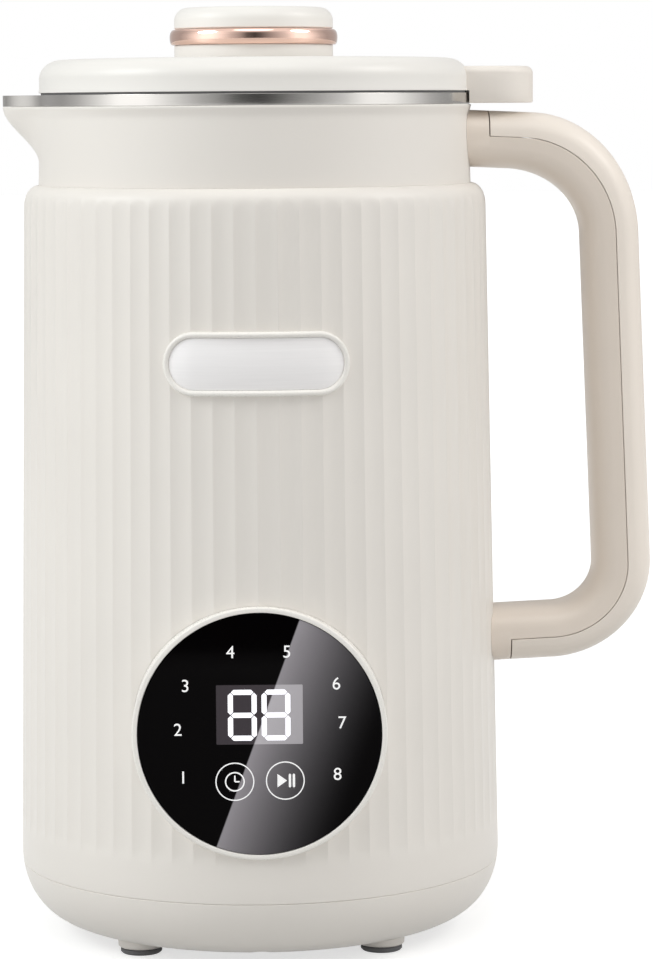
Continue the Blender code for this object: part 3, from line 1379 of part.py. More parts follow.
def make_under_pot():
    top = Z_POT - GAP
    low = top - SPREADER_THICKNESS
    ring = tube(SPREADER_INNER_RADIUS, SPREADER_OUTER_RADIUS, low, top, FINE_STEPS)
    piece("heat_spreader", ring, "housing", ALUMINIUM, 0.4, 1.0)
    z = low - GAP - HEATER_TUBE_RADIUS
    path = []
    steps = 3 * CORNER_STEPS
    start = math.pi / 2 - HEATER_SWEEP / 2 - math.pi
    for i in range(steps + 1):
        path.append(Vector((*polar(HEATER_CIRCLE, start + HEATER_SWEEP * i / steps), z)))
    for index, end in ((0, path[0]), (len(path), path[-1])):
        tail = end - Vector((0, 0, HEATER_TAIL))
        path.insert(0 if index == 0 else len(path), tail)
    rings = swept(path, HEATER_TUBE_RADIUS, 8)
    piece("heater_tube", loft(rings), "housing", STEEL, 0.45, 1.0)
    at = polar(SENSOR_CIRCLE, math.pi)
    probe = rod(SENSOR_RADIUS, Z_CHASSIS_TOP + GAP, Z_POT - GAP, SMALL_STEPS, at)
    piece("temperature_sensor", probe, "housing", STEEL, 0.3, 1.0)
    inner = SHAFT_RADIUS + RUNNING_GAP
    body = POT_HOLE_RADIUS - GAP
    under = Z_POT - GAP
    over = Z_POT_FLOOR + GAP
    seal = [
        (inner, under - SEAL_FLANGE_THICKNESS),
        (SEAL_FLANGE_RADIUS, under - SEAL_FLANGE_THICKNESS),
        (SEAL_FLANGE_RADIUS, under),
        (body, under),
        (body, over),
        (SEAL_LIP_RADIUS, over),
        (SEAL_LIP_RADIUS, over + SEAL_LIP_THICKNESS),
        (SEAL_NOSE_RADIUS, over + SEAL_LIP_THICKNESS + SEAL_NOSE_HEIGHT),
        (inner, over + SEAL_LIP_THICKNESS + SEAL_NOSE_HEIGHT),
    ]
    piece("shaft_seal", turned(seal, SMALL_STEPS), "housing", SILICONE, 0.6)


def swept(path, radius, sides):
    """Rings of a round tube along a path of points."""
    rings = []
    last = None
    for i, point in enumerate(path):
        before = path[max(i - 1, 0)]
        after = path[min(i + 1, len(path) - 1)]
        along = (after - before).normalized()
        if last is None:
            last = along.orthogonal().normalized()
        side = (last - along * last.dot(along)).normalized()
        last = side
        other = along.cross(side)
        ring = []
        for k in range(sides):
            angle = math.tau * k / sides
            ring.append(point + side * radius * math.cos(angle) + other * radius * math.sin(angle))
        rings.append(ring)
    return rings


def make_boards_and_cable():
    y = POWER_BOARD_OFFSET
    high = Z_CHASSIS - GAP
    low = high - POWER_BOARD_HEIGHT
    half = POWER_BOARD_WIDTH / 2
    board = piece(
        "power_board",
        box((-half, y, low), (half, y + BOARD_THICKNESS, high)),
        "housing", BOARD_GREEN, 0.5,
    )
    middle = (low + high) / 2
    parts = []
    for x, size in ((-RELAY_OFFSET, RELAY_SIZE), (CAPACITOR_OFFSET, CAPACITOR_SIZE)):
        corner = (x - size[0] / 2, y + BOARD_THICKNESS / 2, middle - size[2] / 2)
        parts.append(box(corner, (x + size[0] / 2, y + BOARD_THICKNESS + size[1], middle + size[2] / 2)))
    join(board, tool("board_parts", merged(parts)))
    back = -PANEL_FACE + LENS_SINK + LENS_THICKNESS + SHELF_THICKNESS + BOARD_THICKNESS + 3 * GAP
    z = middle
    knots = [
        Vector((CABLE_START_X, back, Z_PANEL + DIGIT_RISE)),
        Vector((CABLE_START_X, back + 4 * CABLE_RADIUS, Z_PANEL + DIGIT_RISE)),
        Vector((CABLE_CORNER, -CABLE_CORNER, z)),
        Vector((CABLE_BULGE, 0, z)),
        Vector((CABLE_CORNER, CABLE_CORNER - 4 * CABLE_RADIUS, z)),
        Vector((half + 6 * CABLE_RADIUS, y + BOARD_THICKNESS / 2, z)),
        Vector((half + GAP, y + BOARD_THICKNESS / 2, z)),
    ]
    path = [knots[0], *smooth_path(knots[1:-1], 4), knots[-1]]
    piece("display_cable", loft(swept(path, CABLE_RADIUS, 6)), "housing", SILICONE, 0.5)


def smooth_path(knots, steps):
    """A smooth curve through the knots, as a row of points."""
    path = []
    for i in range(len(knots) - 1):
        a = knots[max(i - 1, 0)]
        b = knots[i]
        c = knots[i + 1]
        d = knots[min(i + 2, len(knots) - 1)]
        for k in range(steps):
            t = k / steps
            out = b + (c - a) * t / 2 + (2 * a - 5 * b + 4 * c - d) * t * t / 2
            path.append(out + (3 * b - a - 3 * c + d) * t * t * t / 2)
    path.append(knots[-1])
    return path


def make_drive():
    shoulder = Z_BLADE - GAP
    top = Z_BLADE + 2 * BLADE_THICKNESS + NUT_HEIGHT - NUT_CROWN
    profile = [
        (0, Z_FAN - SHAFT_FOOT),
        (SHAFT_RADIUS, Z_FAN - SHAFT_FOOT),
        (SHAFT_RADIUS, shoulder),
        (SHAFT_TOP_RADIUS, shoulder),
        (SHAFT_TOP_RADIUS, top),
        (0, top),
    ]
    piece("drive_shaft", turned(profile, SMALL_STEPS), "drive", STEEL, 0.25, 1.0)
    bore = SHAFT_RADIUS + GAP
    outline = []
    for i in range(ROTOR_SLOT_COUNT):
        middle = math.tau * i / ROTOR_SLOT_COUNT
        half_slot = ROTOR_SLOT_WIDTH / 2 / ROTOR_RADIUS
        pitch = math.tau / ROTOR_SLOT_COUNT
        outline.append(polar(ROTOR_RADIUS - ROTOR_SLOT_DEPTH, middle - half_slot))
        outline.append(polar(ROTOR_RADIUS - ROTOR_SLOT_DEPTH, middle + half_slot))
        outline.append(polar(ROTOR_RADIUS, middle + half_slot))
        outline.append(polar(ROTOR_RADIUS, middle + pitch - half_slot))
    hole = arc(bore, 0, math.tau, SMALL_STEPS)[:-1]
    piece("rotor_core", extruded(outline, [hole], Z_STATOR, Z_STATOR_TOP), "drive", IRON, 0.5, 0.6)
    high = Z_UPPER_BAR - COMMUTATOR_DROP
    ring = tube(bore, COMMUTATOR_RADIUS, high - COMMUTATOR_HEIGHT, high, SMALL_STEPS)
    piece("commutator", ring, "drive", COPPER, 0.3, 1.0)
    plate_low = Z_FAN_TOP - FAN_PLATE_THICKNESS
    fan = piece("cooling_fan", tube(bore, FAN_RADIUS, plate_low, Z_FAN_TOP, FINE_STEPS), "drive", BLACK, 0.5)
    join(fan, tool("fan_hub", tube(bore, FAN_HUB_RADIUS, Z_FAN, plate_low + FAN_PLATE_THICKNESS / 2), "drive"))
    blades = []
    for i in range(FAN_BLADE_COUNT):
        angle = math.tau * i / FAN_BLADE_COUNT
        along = Vector(polar(1, angle))
        across = Vector((-along.y, along.x)) * FAN_BLADE_THICKNESS / 2
        inner = FAN_HUB_RADIUS - FAN_BLADE_THICKNESS
        corners = []
        for reach, side in ((inner, -1), (FAN_RADIUS - GAP, -1), (FAN_RADIUS - GAP, 1), (inner, 1)):
            point = along * reach + across * side
            corners.append((point.x, point.y))
        blades.append(extruded(corners, [], Z_FAN + GAP, plate_low + FAN_PLATE_THICKNESS / 2))
    join(fan, tool("fan_blades", merged(blades), "drive"))


def blade_shape(reach, low, turn, bend):
    """Two wings on a hub, each wing bent up or down beyond the hub."""
    outline = []
    for base in (turn, turn + math.pi):
        root = math.asin(BLADE_ROOT_WIDTH / 2 / BLADE_HUB_RADIUS)
        for radius, width in ((BLADE_HUB_RADIUS, BLADE_ROOT_WIDTH), (reach, BLADE_TIP_WIDTH)):
            x = math.sqrt(radius ** 2 - (width / 2) ** 2)
            outline.append((x, -width / 2, base))
        outline.append((math.sqrt(reach ** 2 - (BLADE_TIP_WIDTH / 2) ** 2), BLADE_TIP_WIDTH / 2, base))
        for point in arc(BLADE_HUB_RADIUS, root, math.pi - root, ARC_STEPS)[:-1]:
            outline.append((*point, base))
    flat = []
    for x, y, base in outline:
        flat.append((x * math.cos(base) - y * math.sin(base), x * math.sin(base) + y * math.cos(base)))
    hole = arc(SHAFT_TOP_RADIUS + GAP, 0, math.tau, SCREW_STEPS)[:-1]
    bm = extruded(flat, [hole], low, low + BLADE_THICKNESS)
    for vert in bm.verts:
        out = math.hypot(vert.co.x, vert.co.y) - BLADE_HUB_RADIUS
        if out > GAP:
            vert.co.z += bend * out * BLADE_BEND_SHARE
    return bm


def make_blades():
    lower = blade_shape(LOWER_BLADE_REACH, Z_BLADE, 0, -0.3)
    piece("blade_lower", lower, "drive", STEEL, 0.2, 1.0)
    low = Z_BLADE + BLADE_THICKNESS + GAP
    upper = blade_shape(UPPER_BLADE_REACH, low, math.pi / 2, 1.0)
    piece("blade_upper", upper, "drive", STEEL, 0.2, 1.0)
    low += BLADE_THICKNESS + GAP
    profile = [
        (SHAFT_TOP_RADIUS + GAP, low),
        (NUT_RADIUS, low),
        (NUT_RADIUS, low + NUT_HEIGHT - NUT_CROWN),
        (NUT_RADIUS / 2, low + NUT_HEIGHT),
        (0, low + NUT_HEIGHT),
    ]
    shell = profile + [(0, low + NUT_HEIGHT - NUT_CROWN + GAP), (SHAFT_TOP_RADIUS + GAP, low + NUT_HEIGHT - NUT_CROWN + GAP)]
    outer = turned([(0, low), *profile[1:]], SCREW_STEPS)
    nut = piece("blade_nut", outer, "drive", STEEL, 0.2, 1.0)
    bore = rod(SHAFT_TOP_RADIUS + GAP, low - OVERRUN, shell[-1][1], SCREW_STEPS)
    cut(nut, tool("nut_bore", bore, "drive"))


def make_lid():
    inner = LID_RADIUS - LID_WALL
    roof = Z_LID_TOP - LID_WALL
    profile = [(LID_RADIUS, Z_LID)]
    for i in range(ARC_STEPS + 1):
        angle = math.pi / 2 * i / ARC_STEPS
        radius = LID_RADIUS - LID_CORNER_WIDTH * (1 - math.cos(angle))
        z = Z_LID_TOP - LID_CROWN - LID_CORNER_HEIGHT * (1 - math.sin(angle))
        profile.append((radius, z))
    profile += [(KNOB_RADIUS, Z_LID_TOP), (LID_HOLE_RADIUS, Z_LID_TOP), (LID_HOLE_RADIUS, roof)]
    profile += [(KNOB_RADIUS, roof), (inner - LID_CORNER_WIDTH, roof - LID_CROWN)]
    profile += [(inner, Z_LID_TOP - LID_CROWN - LID_CORNER_HEIGHT), (inner, Z_LID)]
    cover = piece("lid_cover", turned(profile, RING_STEPS), "lid", CREAM, 0.4)
    root = LID_RADIUS - TAB_ROOT_INSET
    high = Z_LID_TOP - TAB_TOP_DROP
    outline = rounded_rectangle(root, TAB_REACH, TAB_DEPTH / 2, TAB_CORNER)
    join(cover, tool("tab_upper", extruded(outline, [], Z_LID, high), "lid"))
    outline = rounded_rectangle(RIM_RADIUS + 2 * GAP, TAB_REACH, TAB_DEPTH / 2, TAB_CORNER)
    low = Z_HANDLE_TOP + TAB_HANDLE_GAP
    join(cover, tool("tab_lower", extruded(outline, [], low, Z_LID + LID_WALL), "lid"))
    at = (MAGNET_OFFSET, 0)
    z = low + MAGNET_SINK
    pocket = rod(MAGNET_RADIUS + GAP, low - OVERRUN, z + MAGNET_THICKNESS + GAP, SMALL_STEPS, at)
    cut(cover, tool("magnet_pocket", pocket, "lid"))
    piece("lid_magnet", rod(MAGNET_RADIUS, z, z + MAGNET_THICKNESS, SMALL_STEPS, at), "lid", IRON, 0.3, 1.0)


def make_liner_and_gasket():
    low = Z_LID - LINER_SKIRT_DROP
    under = Z_LID + GAP
    top = under + LINER_THICKNESS
    skirt_inner = LINER_SKIRT_RADIUS - LINER_WALL
    profile = [
        (LID_HOLE_RADIUS, under),
        (skirt_inner, under),
        (skirt_inner, low),
        (LINER_SKIRT_RADIUS, low),
        (LINER_SKIRT_RADIUS, under),
        (LINER_FLANGE_RADIUS, under),
        (LINER_FLANGE_RADIUS, top),
        (LID_HOLE_RADIUS, top),
    ]
    piece("lid_liner", turned(profile, FINE_STEPS), "lid", STEEL, 0.3, 1.0)
    seal_low = low + GASKET_FOOT_RISE
    seal_high = seal_low + GASKET_HEIGHT
    slack = POT_RADIUS * (1 - math.cos(math.pi * (1 + SPOUT_CROWDING) / RING_STEPS))
    seal_outer = POT_RADIUS - GAP - slack
    ring = tube(LINER_SKIRT_RADIUS + GAP, seal_outer, seal_low, seal_high, FINE_STEPS)
    piece("lid_gasket", ring, "lid", SILICONE, 0.6)


def make_knob():
    base_top = Z_KNOB + KNOB_BASE_HEIGHT
    boss_top = Z_KNOB_RING + KNOB_RING_HEIGHT
    socket = Z_KNOB_CAP - KNOB_STEM_DROP - GAP
    wide = KNOB_STEM_RADIUS + GAP
    profile = [
        (LID_HOLE_RADIUS, Z_KNOB),
        (KNOB_RADIUS, Z_KNOB),
        (KNOB_RADIUS, base_top),
        (KNOB_BOSS_RADIUS, base_top),
        (KNOB_BOSS_RADIUS, boss_top),
        (wide, boss_top),
        (wide, socket),
        (LID_HOLE_RADIUS, socket),
    ]
    piece("knob_base", turned(profile, FINE_STEPS), "lid", CREAM, 0.4)
    edge = KNOB_RING_RADIUS - KNOB_RING_BULGE
    profile = [
        (KNOB_BOSS_RADIUS + GAP, Z_KNOB_RING),
        (edge, Z_KNOB_RING),
        (KNOB_RING_RADIUS, Z_KNOB_RING + KNOB_RING_HEIGHT / 4),
        (KNOB_RING_RADIUS, Z_KNOB_RING + KNOB_RING_HEIGHT * 3 / 4),
        (edge, boss_top),
        (KNOB_BOSS_RADIUS + GAP, boss_top),
    ]
    piece("knob_ring", turned(profile, FINE_STEPS), "lid", ROSE_GOLD, 0.15, 1.0)
    bore = KNOB_SCREW_RADIUS + GAP
    stem_low = socket + GAP
    profile = [(bore, stem_low), (KNOB_STEM_RADIUS, stem_low), (KNOB_STEM_RADIUS, Z_KNOB_CAP)]
    profile.append((KNOB_RADIUS, Z_KNOB_CAP))
    for i in range(4):
        angle = math.pi / 2 * i / 3
        radius = KNOB_RADIUS - KNOB_CORNER * (1 - math.cos(angle))
        profile.append((radius, Z_KNOB_TOP - KNOB_CROWN - KNOB_CORNER * (1 - math.sin(angle))))
    profile.append((0, Z_KNOB_TOP))
    cap = piece("knob_cap", turned([(0, stem_low), *profile[1:]], FINE_STEPS), "lid", CREAM, 0.4)
    bore_top = Z_KNOB_CAP
    cut(cap, tool("cap_bore", rod(bore, stem_low - OVERRUN, bore_top, SCREW_STEPS), "lid"))
    seat = Z_LID + GAP
    low = seat - GAP - KNOB_SCREW_HEAD_HEIGHT
    length = bore_top - KNOB_SCREW_END_GAP - low - KNOB_SCREW_HEAD_HEIGHT
    shape = screw_shape(KNOB_SCREW_RADIUS, KNOB_SCREW_HEAD_RADIUS, KNOB_SCREW_HEAD_HEIGHT, low, length)
    piece("knob_screw", shape, "lid", STEEL, 0.3, 1.0)


def main():
    clear_scene()
    make_bodies()
    panel_hole = panel_cutter()
    make_outer_sleeve(panel_hole)
    make_collar()
    make_pot()
    make_overflow_probe()
    make_base_bowl()
    make_feet()
    make_base_screws()
    make_handle()
    make_handle_screws()
    make_reed_switch()
    make_panel()
    make_name_plate()
    make_power_inlet()
    make_chassis(panel_hole)
    make_motor_screws()
    make_motor_brackets()
    make_stator()
    make_brushes()
    make_under_pot()
    make_boards_and_cable()
    make_drive()
    make_blades()
    make_lid()
    make_liner_and_gasket()
    make_knob()


main()
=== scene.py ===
"""Looks of the soy milk maker: fine meshes, materials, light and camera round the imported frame.

Lengths are in metres in the frame's own axes: +Z up, handle at +X, spout at -X, panel at -Y.
Shapes are drawn about the jug's axis and moved onto it when they become pieces.
"""
import math

import bmesh
import bpy
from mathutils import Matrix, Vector


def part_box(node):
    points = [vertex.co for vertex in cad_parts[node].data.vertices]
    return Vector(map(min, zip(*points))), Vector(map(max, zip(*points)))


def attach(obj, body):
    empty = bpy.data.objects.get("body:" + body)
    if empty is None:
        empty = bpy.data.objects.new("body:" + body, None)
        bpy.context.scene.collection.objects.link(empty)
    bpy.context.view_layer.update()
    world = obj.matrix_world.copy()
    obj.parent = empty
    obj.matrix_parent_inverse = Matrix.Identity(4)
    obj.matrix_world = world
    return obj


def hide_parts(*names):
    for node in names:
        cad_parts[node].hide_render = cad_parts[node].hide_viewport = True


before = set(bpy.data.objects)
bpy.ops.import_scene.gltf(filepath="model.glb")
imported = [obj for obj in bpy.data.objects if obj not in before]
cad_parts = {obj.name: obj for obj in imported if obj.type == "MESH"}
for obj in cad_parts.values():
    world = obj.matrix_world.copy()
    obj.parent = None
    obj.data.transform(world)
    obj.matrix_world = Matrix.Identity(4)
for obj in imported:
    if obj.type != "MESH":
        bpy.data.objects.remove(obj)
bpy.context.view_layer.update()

MM = 0.001
LOW = {name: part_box(name)[0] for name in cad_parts}
HIGH = {name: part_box(name)[1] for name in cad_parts}


def middle(name, axis):
    return (getattr(LOW[name], axis) + getattr(HIGH[name], axis)) / 2


# Levels and places, most of them read from the frame
GAP = 0.3 * MM
AXIS_X = middle("knob_ring", "x")
Z_BOWL = 4.0 * MM
Z_SEAM = LOW["outer_sleeve"].z - GAP
Z_CORNER = Z_BOWL + 22.0 * MM
Z_SHOULDER = HIGH["outer_sleeve"].z
Z_SHOULDER_FOOT = Z_SHOULDER - 6.5 * MM
Z_COLLAR = LOW["collar"].z
Z_NECK_TOP = HIGH["collar"].z
Z_SPOUT = Z_NECK_TOP - 17.4 * MM
Z_POT = LOW["pot"].z
Z_POT_FLOOR = Z_POT + 1.0 * MM
Z_RIM_TOP = HIGH["pot"].z
Z_FLANGE = Z_NECK_TOP + GAP
Z_LID = Z_RIM_TOP + GAP
Z_LID_TOP = HIGH["lid_cover"].z
Z_KNOB = LOW["knob_base"].z
Z_RING = LOW["knob_ring"].z
Z_RING_TOP = HIGH["knob_ring"].z - 0.5 * MM
Z_CAP = Z_RING_TOP + 0.06 * MM
Z_CAP_TOP = HIGH["knob_cap"].z
Z_PANEL = middle("panel_bezel", "z")
Z_PLATE = middle("plate_frame", "z")
Z_INLET = middle("power_inlet", "z")
Z_HANDLE_TOP = Z_NECK_TOP - 1.5 * MM
Z_HANDLE_FOOT = Z_HANDLE_TOP - 171.4 * MM
HANDLE_REACH = HIGH["handle_outer_cover"].x - AXIS_X
BEZEL_FACE = LOW["panel_bezel"].y
LENS_FACE = LOW["panel_lens"].y
INLET_FACE = HIGH["power_inlet"].y

# Radii about the jug's axis
BOTTOM_RADIUS = 56.0 * MM
BODY_RADIUS = 74.4 * MM
SHOULDER_RADIUS = 70.9 * MM
NECK_RADIUS_LOW = 66.3 * MM
NECK_RADIUS_HIGH = 65.5 * MM
POT_RADIUS = 60.0 * MM
RIM_RADIUS = 66.0 * MM

# Walls, edges and seams
SHELL_WALL = 2.2 * MM
POT_WALL = 1.0 * MM
RIM_TOP_EDGE = 0.1 * MM
RIM_LOW_EDGE = 0.06 * MM
RIM_DROP = 0.35 * MM
LIP = 1.0 * MM
LIP_HEIGHT = 3.5 * MM
LIP_CORNER = 0.5 * MM
SEAM_GAP = 0.05 * MM
EDGE = 0.2 * MM
OVERRUN = 2.0 * MM

# Turned shapes: segments round the axis
LATHE_STEPS = 192
WIDE_STEPS = 240
HOLE_STEPS = 160
RING_STEPS = 256


def mix(low, high, share):
    return low + (high - low) * share


def smooth(share):
    share = min(1.0, max(0.0, share))
    return share * share * (3 - 2 * share)


def spread(low, high, steps):
    return [mix(low, high, i / steps) for i in range(steps + 1)]


def quarter(steps, first=0):
    """Sine and cosine at even steps through a right angle."""
    turns = [math.pi / 2 * i / steps for i in range(first, steps + 1)]
    return [(math.sin(turn), math.cos(turn)) for turn in turns]


def in_mm(*pairs):
    return [(x * MM, y * MM) for x, y in pairs]


# Meshes


def stitch(bm, low, high):
    """Faces between two rings of equal count, or between a ring and a point."""
    if len(low) == 1:
        low, high = high, low
    count = len(low)
    for i in range(count):
        j = (i + 1) % count
        if len(high) == 1:
            bm.faces.new((low[i], low[j], high[0]))
        else:
            bm.faces.new((low[i], low[j], high[j], high[i]))


def loft(rings, loop=False, capped=True):
    """Skin a row of rings, closed with flat ends if capped, or with the last ring joined to the first."""
    bm = bmesh.new()
    rows = [[bm.verts.new(point) for point in ring] for ring in rings]
    for low, high in zip(rows, rows[1:] + rows[:1] if loop else rows[1:]):
        stitch(bm, low, high)
    for row in (rows[0], rows[-1]):
        if capped and not loop and len(row) > 2:
            bm.faces.new(row)
    return bm


def circle(radius, z, steps, centre=(0, 0)):
    if radius == 0:
        return [Vector((*centre, z))]
    x, y = centre
    turns = [math.tau * i / steps for i in range(steps)]
    return [Vector((x + radius * math.cos(turn), y + radius * math.sin(turn), z)) for turn in turns]


def turned(profile, steps=LATHE_STEPS, centre=(0, 0), loop=None):
    """A profile of (radius, height) points turned about a vertical axis."""
    if loop is None:
        loop = profile[0][0] > 0
    return loft([circle(radius, z, steps, centre) for radius, z in profile], loop)


def rod(radius, low, high, steps=32, centre=(0, 0)):
    return turned([(0, low), (radius, low), (radius, high), (0, high)], steps, centre)


def level(outline, z):
    return [Vector((x, y, z)) for x, y in outline]


def prism(outline, low, high):
    """A flat outline drawn up from one height to the other."""
    return loft([level(outline, z) for z in (low, high)])


def rounded(profile, edges, steps=3):
    """The profile with the corners named in edges (index: radius) rounded off."""
    points = []
    for i, point in enumerate(profile):
        if i not in edges:
            points.append(point)
            continue
        here = Vector(point)
        before = Vector(profile[i - 1])
        after = Vector(profile[(i + 1) % len(profile)])
        start = here + (before - here).normalized() * edges[i]
        end = here + (after - here).normalized() * edges[i]
        for k in range(steps + 1):
            t = k / steps
            spot = start * (1 - t) ** 2 + here * 2 * t * (1 - t) + end * t * t
            points.append((spot.x, spot.y))
    return points


def rounded_rectangle(half_x, half_y, corner, steps=8):
    points = []
    for quadrant, (sx, sy) in enumerate(((1, -1), (1, 1), (-1, 1), (-1, -1))):
        for i in range(steps + 1):
            angle = math.pi / 2 * (quadrant - 1 + i / steps)
            x = sx * (half_x - corner) + corner * math.cos(angle)
            points.append((x, sy * (half_y - corner) + corner * math.sin(angle)))
    return points


def stadium(length, width, steps=8, straight_steps=1):
    """Outline of a slot with round ends, its length along the first axis."""
    radius = width / 2
    straight = length / 2 - radius
    points = []
    for side, start in ((1, -math.pi / 2), (-1, math.pi / 2)):
        for i in range(steps + 1):
            angle = start + math.pi * i / steps
            points.append((side * straight + radius * math.cos(angle), radius * math.sin(angle)))
        for i in range(1, straight_steps):
            points.append((side * straight * (1 - 2 * i / straight_steps), side * radius))
    return points


def swung(outline, distance, turn):
    """An outline moved out from the axis and turned about it."""
    cosine, sine = math.cos(turn), math.sin(turn)
    return [(distance * cosine + x * cosine - y * sine, distance * sine + x * sine + y * cosine)
            for x, y in outline]


def face_out(bm, z, x=0.0):
    """Lay a shape made about Z along Y, so that its height runs from the front backwards."""
    for vert in bm.verts:
        px, py, pz = vert.co
        vert.co = Vector((px + x, pz, py + z))
    return bm


def merged(parts):
    bm = bmesh.new()
    for part in parts:
        mesh = bpy.data.meshes.new("part")
        part.to_mesh(mesh)
        part.free()
        bm.from_mesh(mesh)
        bpy.data.meshes.remove(mesh)
    return bm


# Pieces


def added(name, data):
    item = bpy.data.objects.new(name, data)
    bpy.context.scene.collection.objects.link(item)
    return item


def new_object(name, bm):
    bmesh.ops.recalc_face_normals(bm, faces=bm.faces)
    bmesh.ops.translate(bm, verts=bm.verts, vec=(AXIS_X, 0, 0))
    mesh = bpy.data.meshes.new(name)
    bm.to_mesh(mesh)
    bm.free()
    return added(name, mesh)


def shade(item, sharp=35):
    item.data.shade_smooth()
    item.data.set_sharp_from_angle(angle=math.radians(sharp))


def piece(name, bm, finish, *stands_for, body="housing", sharp=35):
    """A piece that rides on a body; finish is (material, the record's slot); the slot is not used."""
    item = new_object(name, bm)
    item.data.materials.append(finish[0])
    shade(item, sharp)
    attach(item, body)
    if stands_for:
        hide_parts(*stands_for)
    return item


def evaluated_mesh(item):
    """A new mesh with the result of the item's modifiers or text."""
    bpy.context.view_layer.update()
    return bpy.data.meshes.new_from_object(item.evaluated_get(bpy.context.evaluated_depsgraph_get()))


def apply_modifiers(item):
    mesh = evaluated_mesh(item)
    item.modifiers.clear()
    item.data = mesh
    shade(item)


def carve(item, tools, operation="DIFFERENCE"):
    """Cut the tools (bmesh shapes) out of the item, or join them to it."""
    helpers = []
    for number, shape in enumerate(tools):
        helper = new_object(f"{item.name}_tool_{number}", shape)
        modifier = item.modifiers.new("carve", "BOOLEAN")
        modifier.operation = operation
        modifier.solver = "EXACT"
        modifier.object = helper
        helpers.append(helper)
    apply_modifiers(item)
    for helper in helpers:
        bpy.data.objects.remove(helper, do_unlink=True)


def bevel(item, width, angle):
    modifier = item.modifiers.new("edge", "BEVEL")
    modifier.width = width
    modifier.segments = 2
    modifier.limit_method = "ANGLE"
    modifier.angle_limit = math.radians(angle)


def soften(item, width):
    bevel(item, width, 40)
    apply_modifiers(item)


# Shader nodes: a socket knows its tree, so only nodes without a linked input are told theirs


def fill(made, inputs):
    """Set a node's inputs to constants, or link them to sockets."""
    for key, value in inputs.items():
        if isinstance(value, bpy.types.NodeSocket):
            made.id_data.links.new(value, made.inputs[key])
        else:
            made.inputs[key].default_value = value
    return made


def node(tree, kind, inputs=None, **settings):
    made = tree.nodes.new("ShaderNode" + kind)
    for key, value in settings.items():
        setattr(made, key, value)
    return fill(made, inputs or {})


def noise(place, scale, detail=2.0, roughness=0.5):
    inputs = {"Vector": place, "Scale": scale, "Detail": detail, "Roughness": roughness}
    return node(place.id_data, "TexNoise", inputs).outputs["Fac"]


def ranged(value, low, high, start=0.3, end=0.7):
    inputs = {"Value": value, "From Min": start, "From Max": end, "To Min": low, "To Max": high}
    return node(value.id_data, "MapRange", inputs).outputs["Result"]


def calc(operation, first, second):
    return node(first.id_data, "Math", {0: first, 1: second}, operation=operation).outputs[0]


def vector_calc(operation, inputs, output="Vector"):
    return node(inputs[0].id_data, "VectorMath", inputs, operation=operation).outputs[output]


def parts_from(place, point, unit=1.0):
    """X, Y and Z of a place, measured from a point in a unit of length."""
    at = vector_calc("SUBTRACT", {0: place, 1: point})
    at = vector_calc("SCALE", {0: at, "Scale": 1 / unit})
    return node(at.id_data, "SeparateXYZ", {"Vector": at}).outputs


def opaque(colour):
    return colour if isinstance(colour, bpy.types.NodeSocket) else (*colour, 1.0)


def colour_mix(share, first, second):
    """A colour between first and second, each a colour or a socket."""
    inputs = {0: share, 6: opaque(first), 7: opaque(second)}
    return node(share.id_data, "Mix", inputs, data_type="RGBA").outputs[2]


def scaled(colour, factor):
    return tuple(min(1.0, channel * factor) for channel in colour)


def shades(pattern, colour, dark, light):
    """A colour that drifts with a pattern between two shades of itself."""
    return colour_mix(ranged(pattern, 0.0, 1.0), scaled(colour, dark), scaled(colour, light))


def bump(shader, height, strength, distance):
    inputs = {"Height": height, "Strength": strength, "Distance": distance}
    fill(shader, {"Normal": node(shader.id_data, "Bump", inputs).outputs["Normal"]})


def edge_mask(tree, radius):
    """Near 1 along convex and concave edges, 0 on the flat."""
    soft = node(tree, "Bevel", {"Radius": radius}, samples=4).outputs["Normal"]
    plain = node(tree, "NewGeometry").outputs["Normal"]
    return ranged(vector_calc("DOT_PRODUCT", {0: soft, 1: plain}, "Value"), 1.0, 0.0, 0.80, 0.995)


# Materials


def blank(name):
    """A new material, its shader and the place of a point on the object."""
    material = bpy.data.materials.new(name)
    material.use_nodes = True
    tree = material.node_tree
    return material, tree.nodes["Principled BSDF"], node(tree, "TexCoord").outputs["Object"]


def plastic(name, colour, roughness, grain=2400.0, grain_depth=0.010, worn=0.0):
    """Moulded plastic: fine spark-eroded grain, slow drift of shade, edges a little paler and glossier."""
    material, shader, place = blank(name)
    fine = noise(place, grain, 3.0, 0.6)
    base = shades(noise(place, 22.0, 3.0), colour, 0.985, 1.012)
    base = colour_mix(ranged(fine, 0.0, 0.35, 0.45, 0.75), base, scaled(colour, 0.97))
    rough = ranged(noise(place, 1500.0), roughness - 0.02, roughness + 0.03)
    if worn:
        mask = edge_mask(shader.id_data, 0.6 * MM)
        base = colour_mix(calc("MULTIPLY", mask, worn), base, scaled(colour, 1.06))
        rough = calc("SUBTRACT", rough, calc("MULTIPLY", mask, 0.08))
    fill(shader, {"Base Color": base, "Roughness": rough, "Specular IOR Level": 0.4})
    bump(shader, fine, 0.25, grain_depth * MM)
    return material


def turned_place(place):
    """Distance from the jug's axis and height, for marks that run round the axis."""
    parts = parts_from(place, (AXIS_X, 0, 0))
    flat = node(place.id_data, "CombineXYZ", {"X": parts["X"], "Y": parts["Y"]}).outputs["Vector"]
    radius = vector_calc("LENGTH", {0: flat}, "Value")
    return node(place.id_data, "CombineXYZ", {"X": radius, "Y": parts["Z"]}).outputs["Vector"]


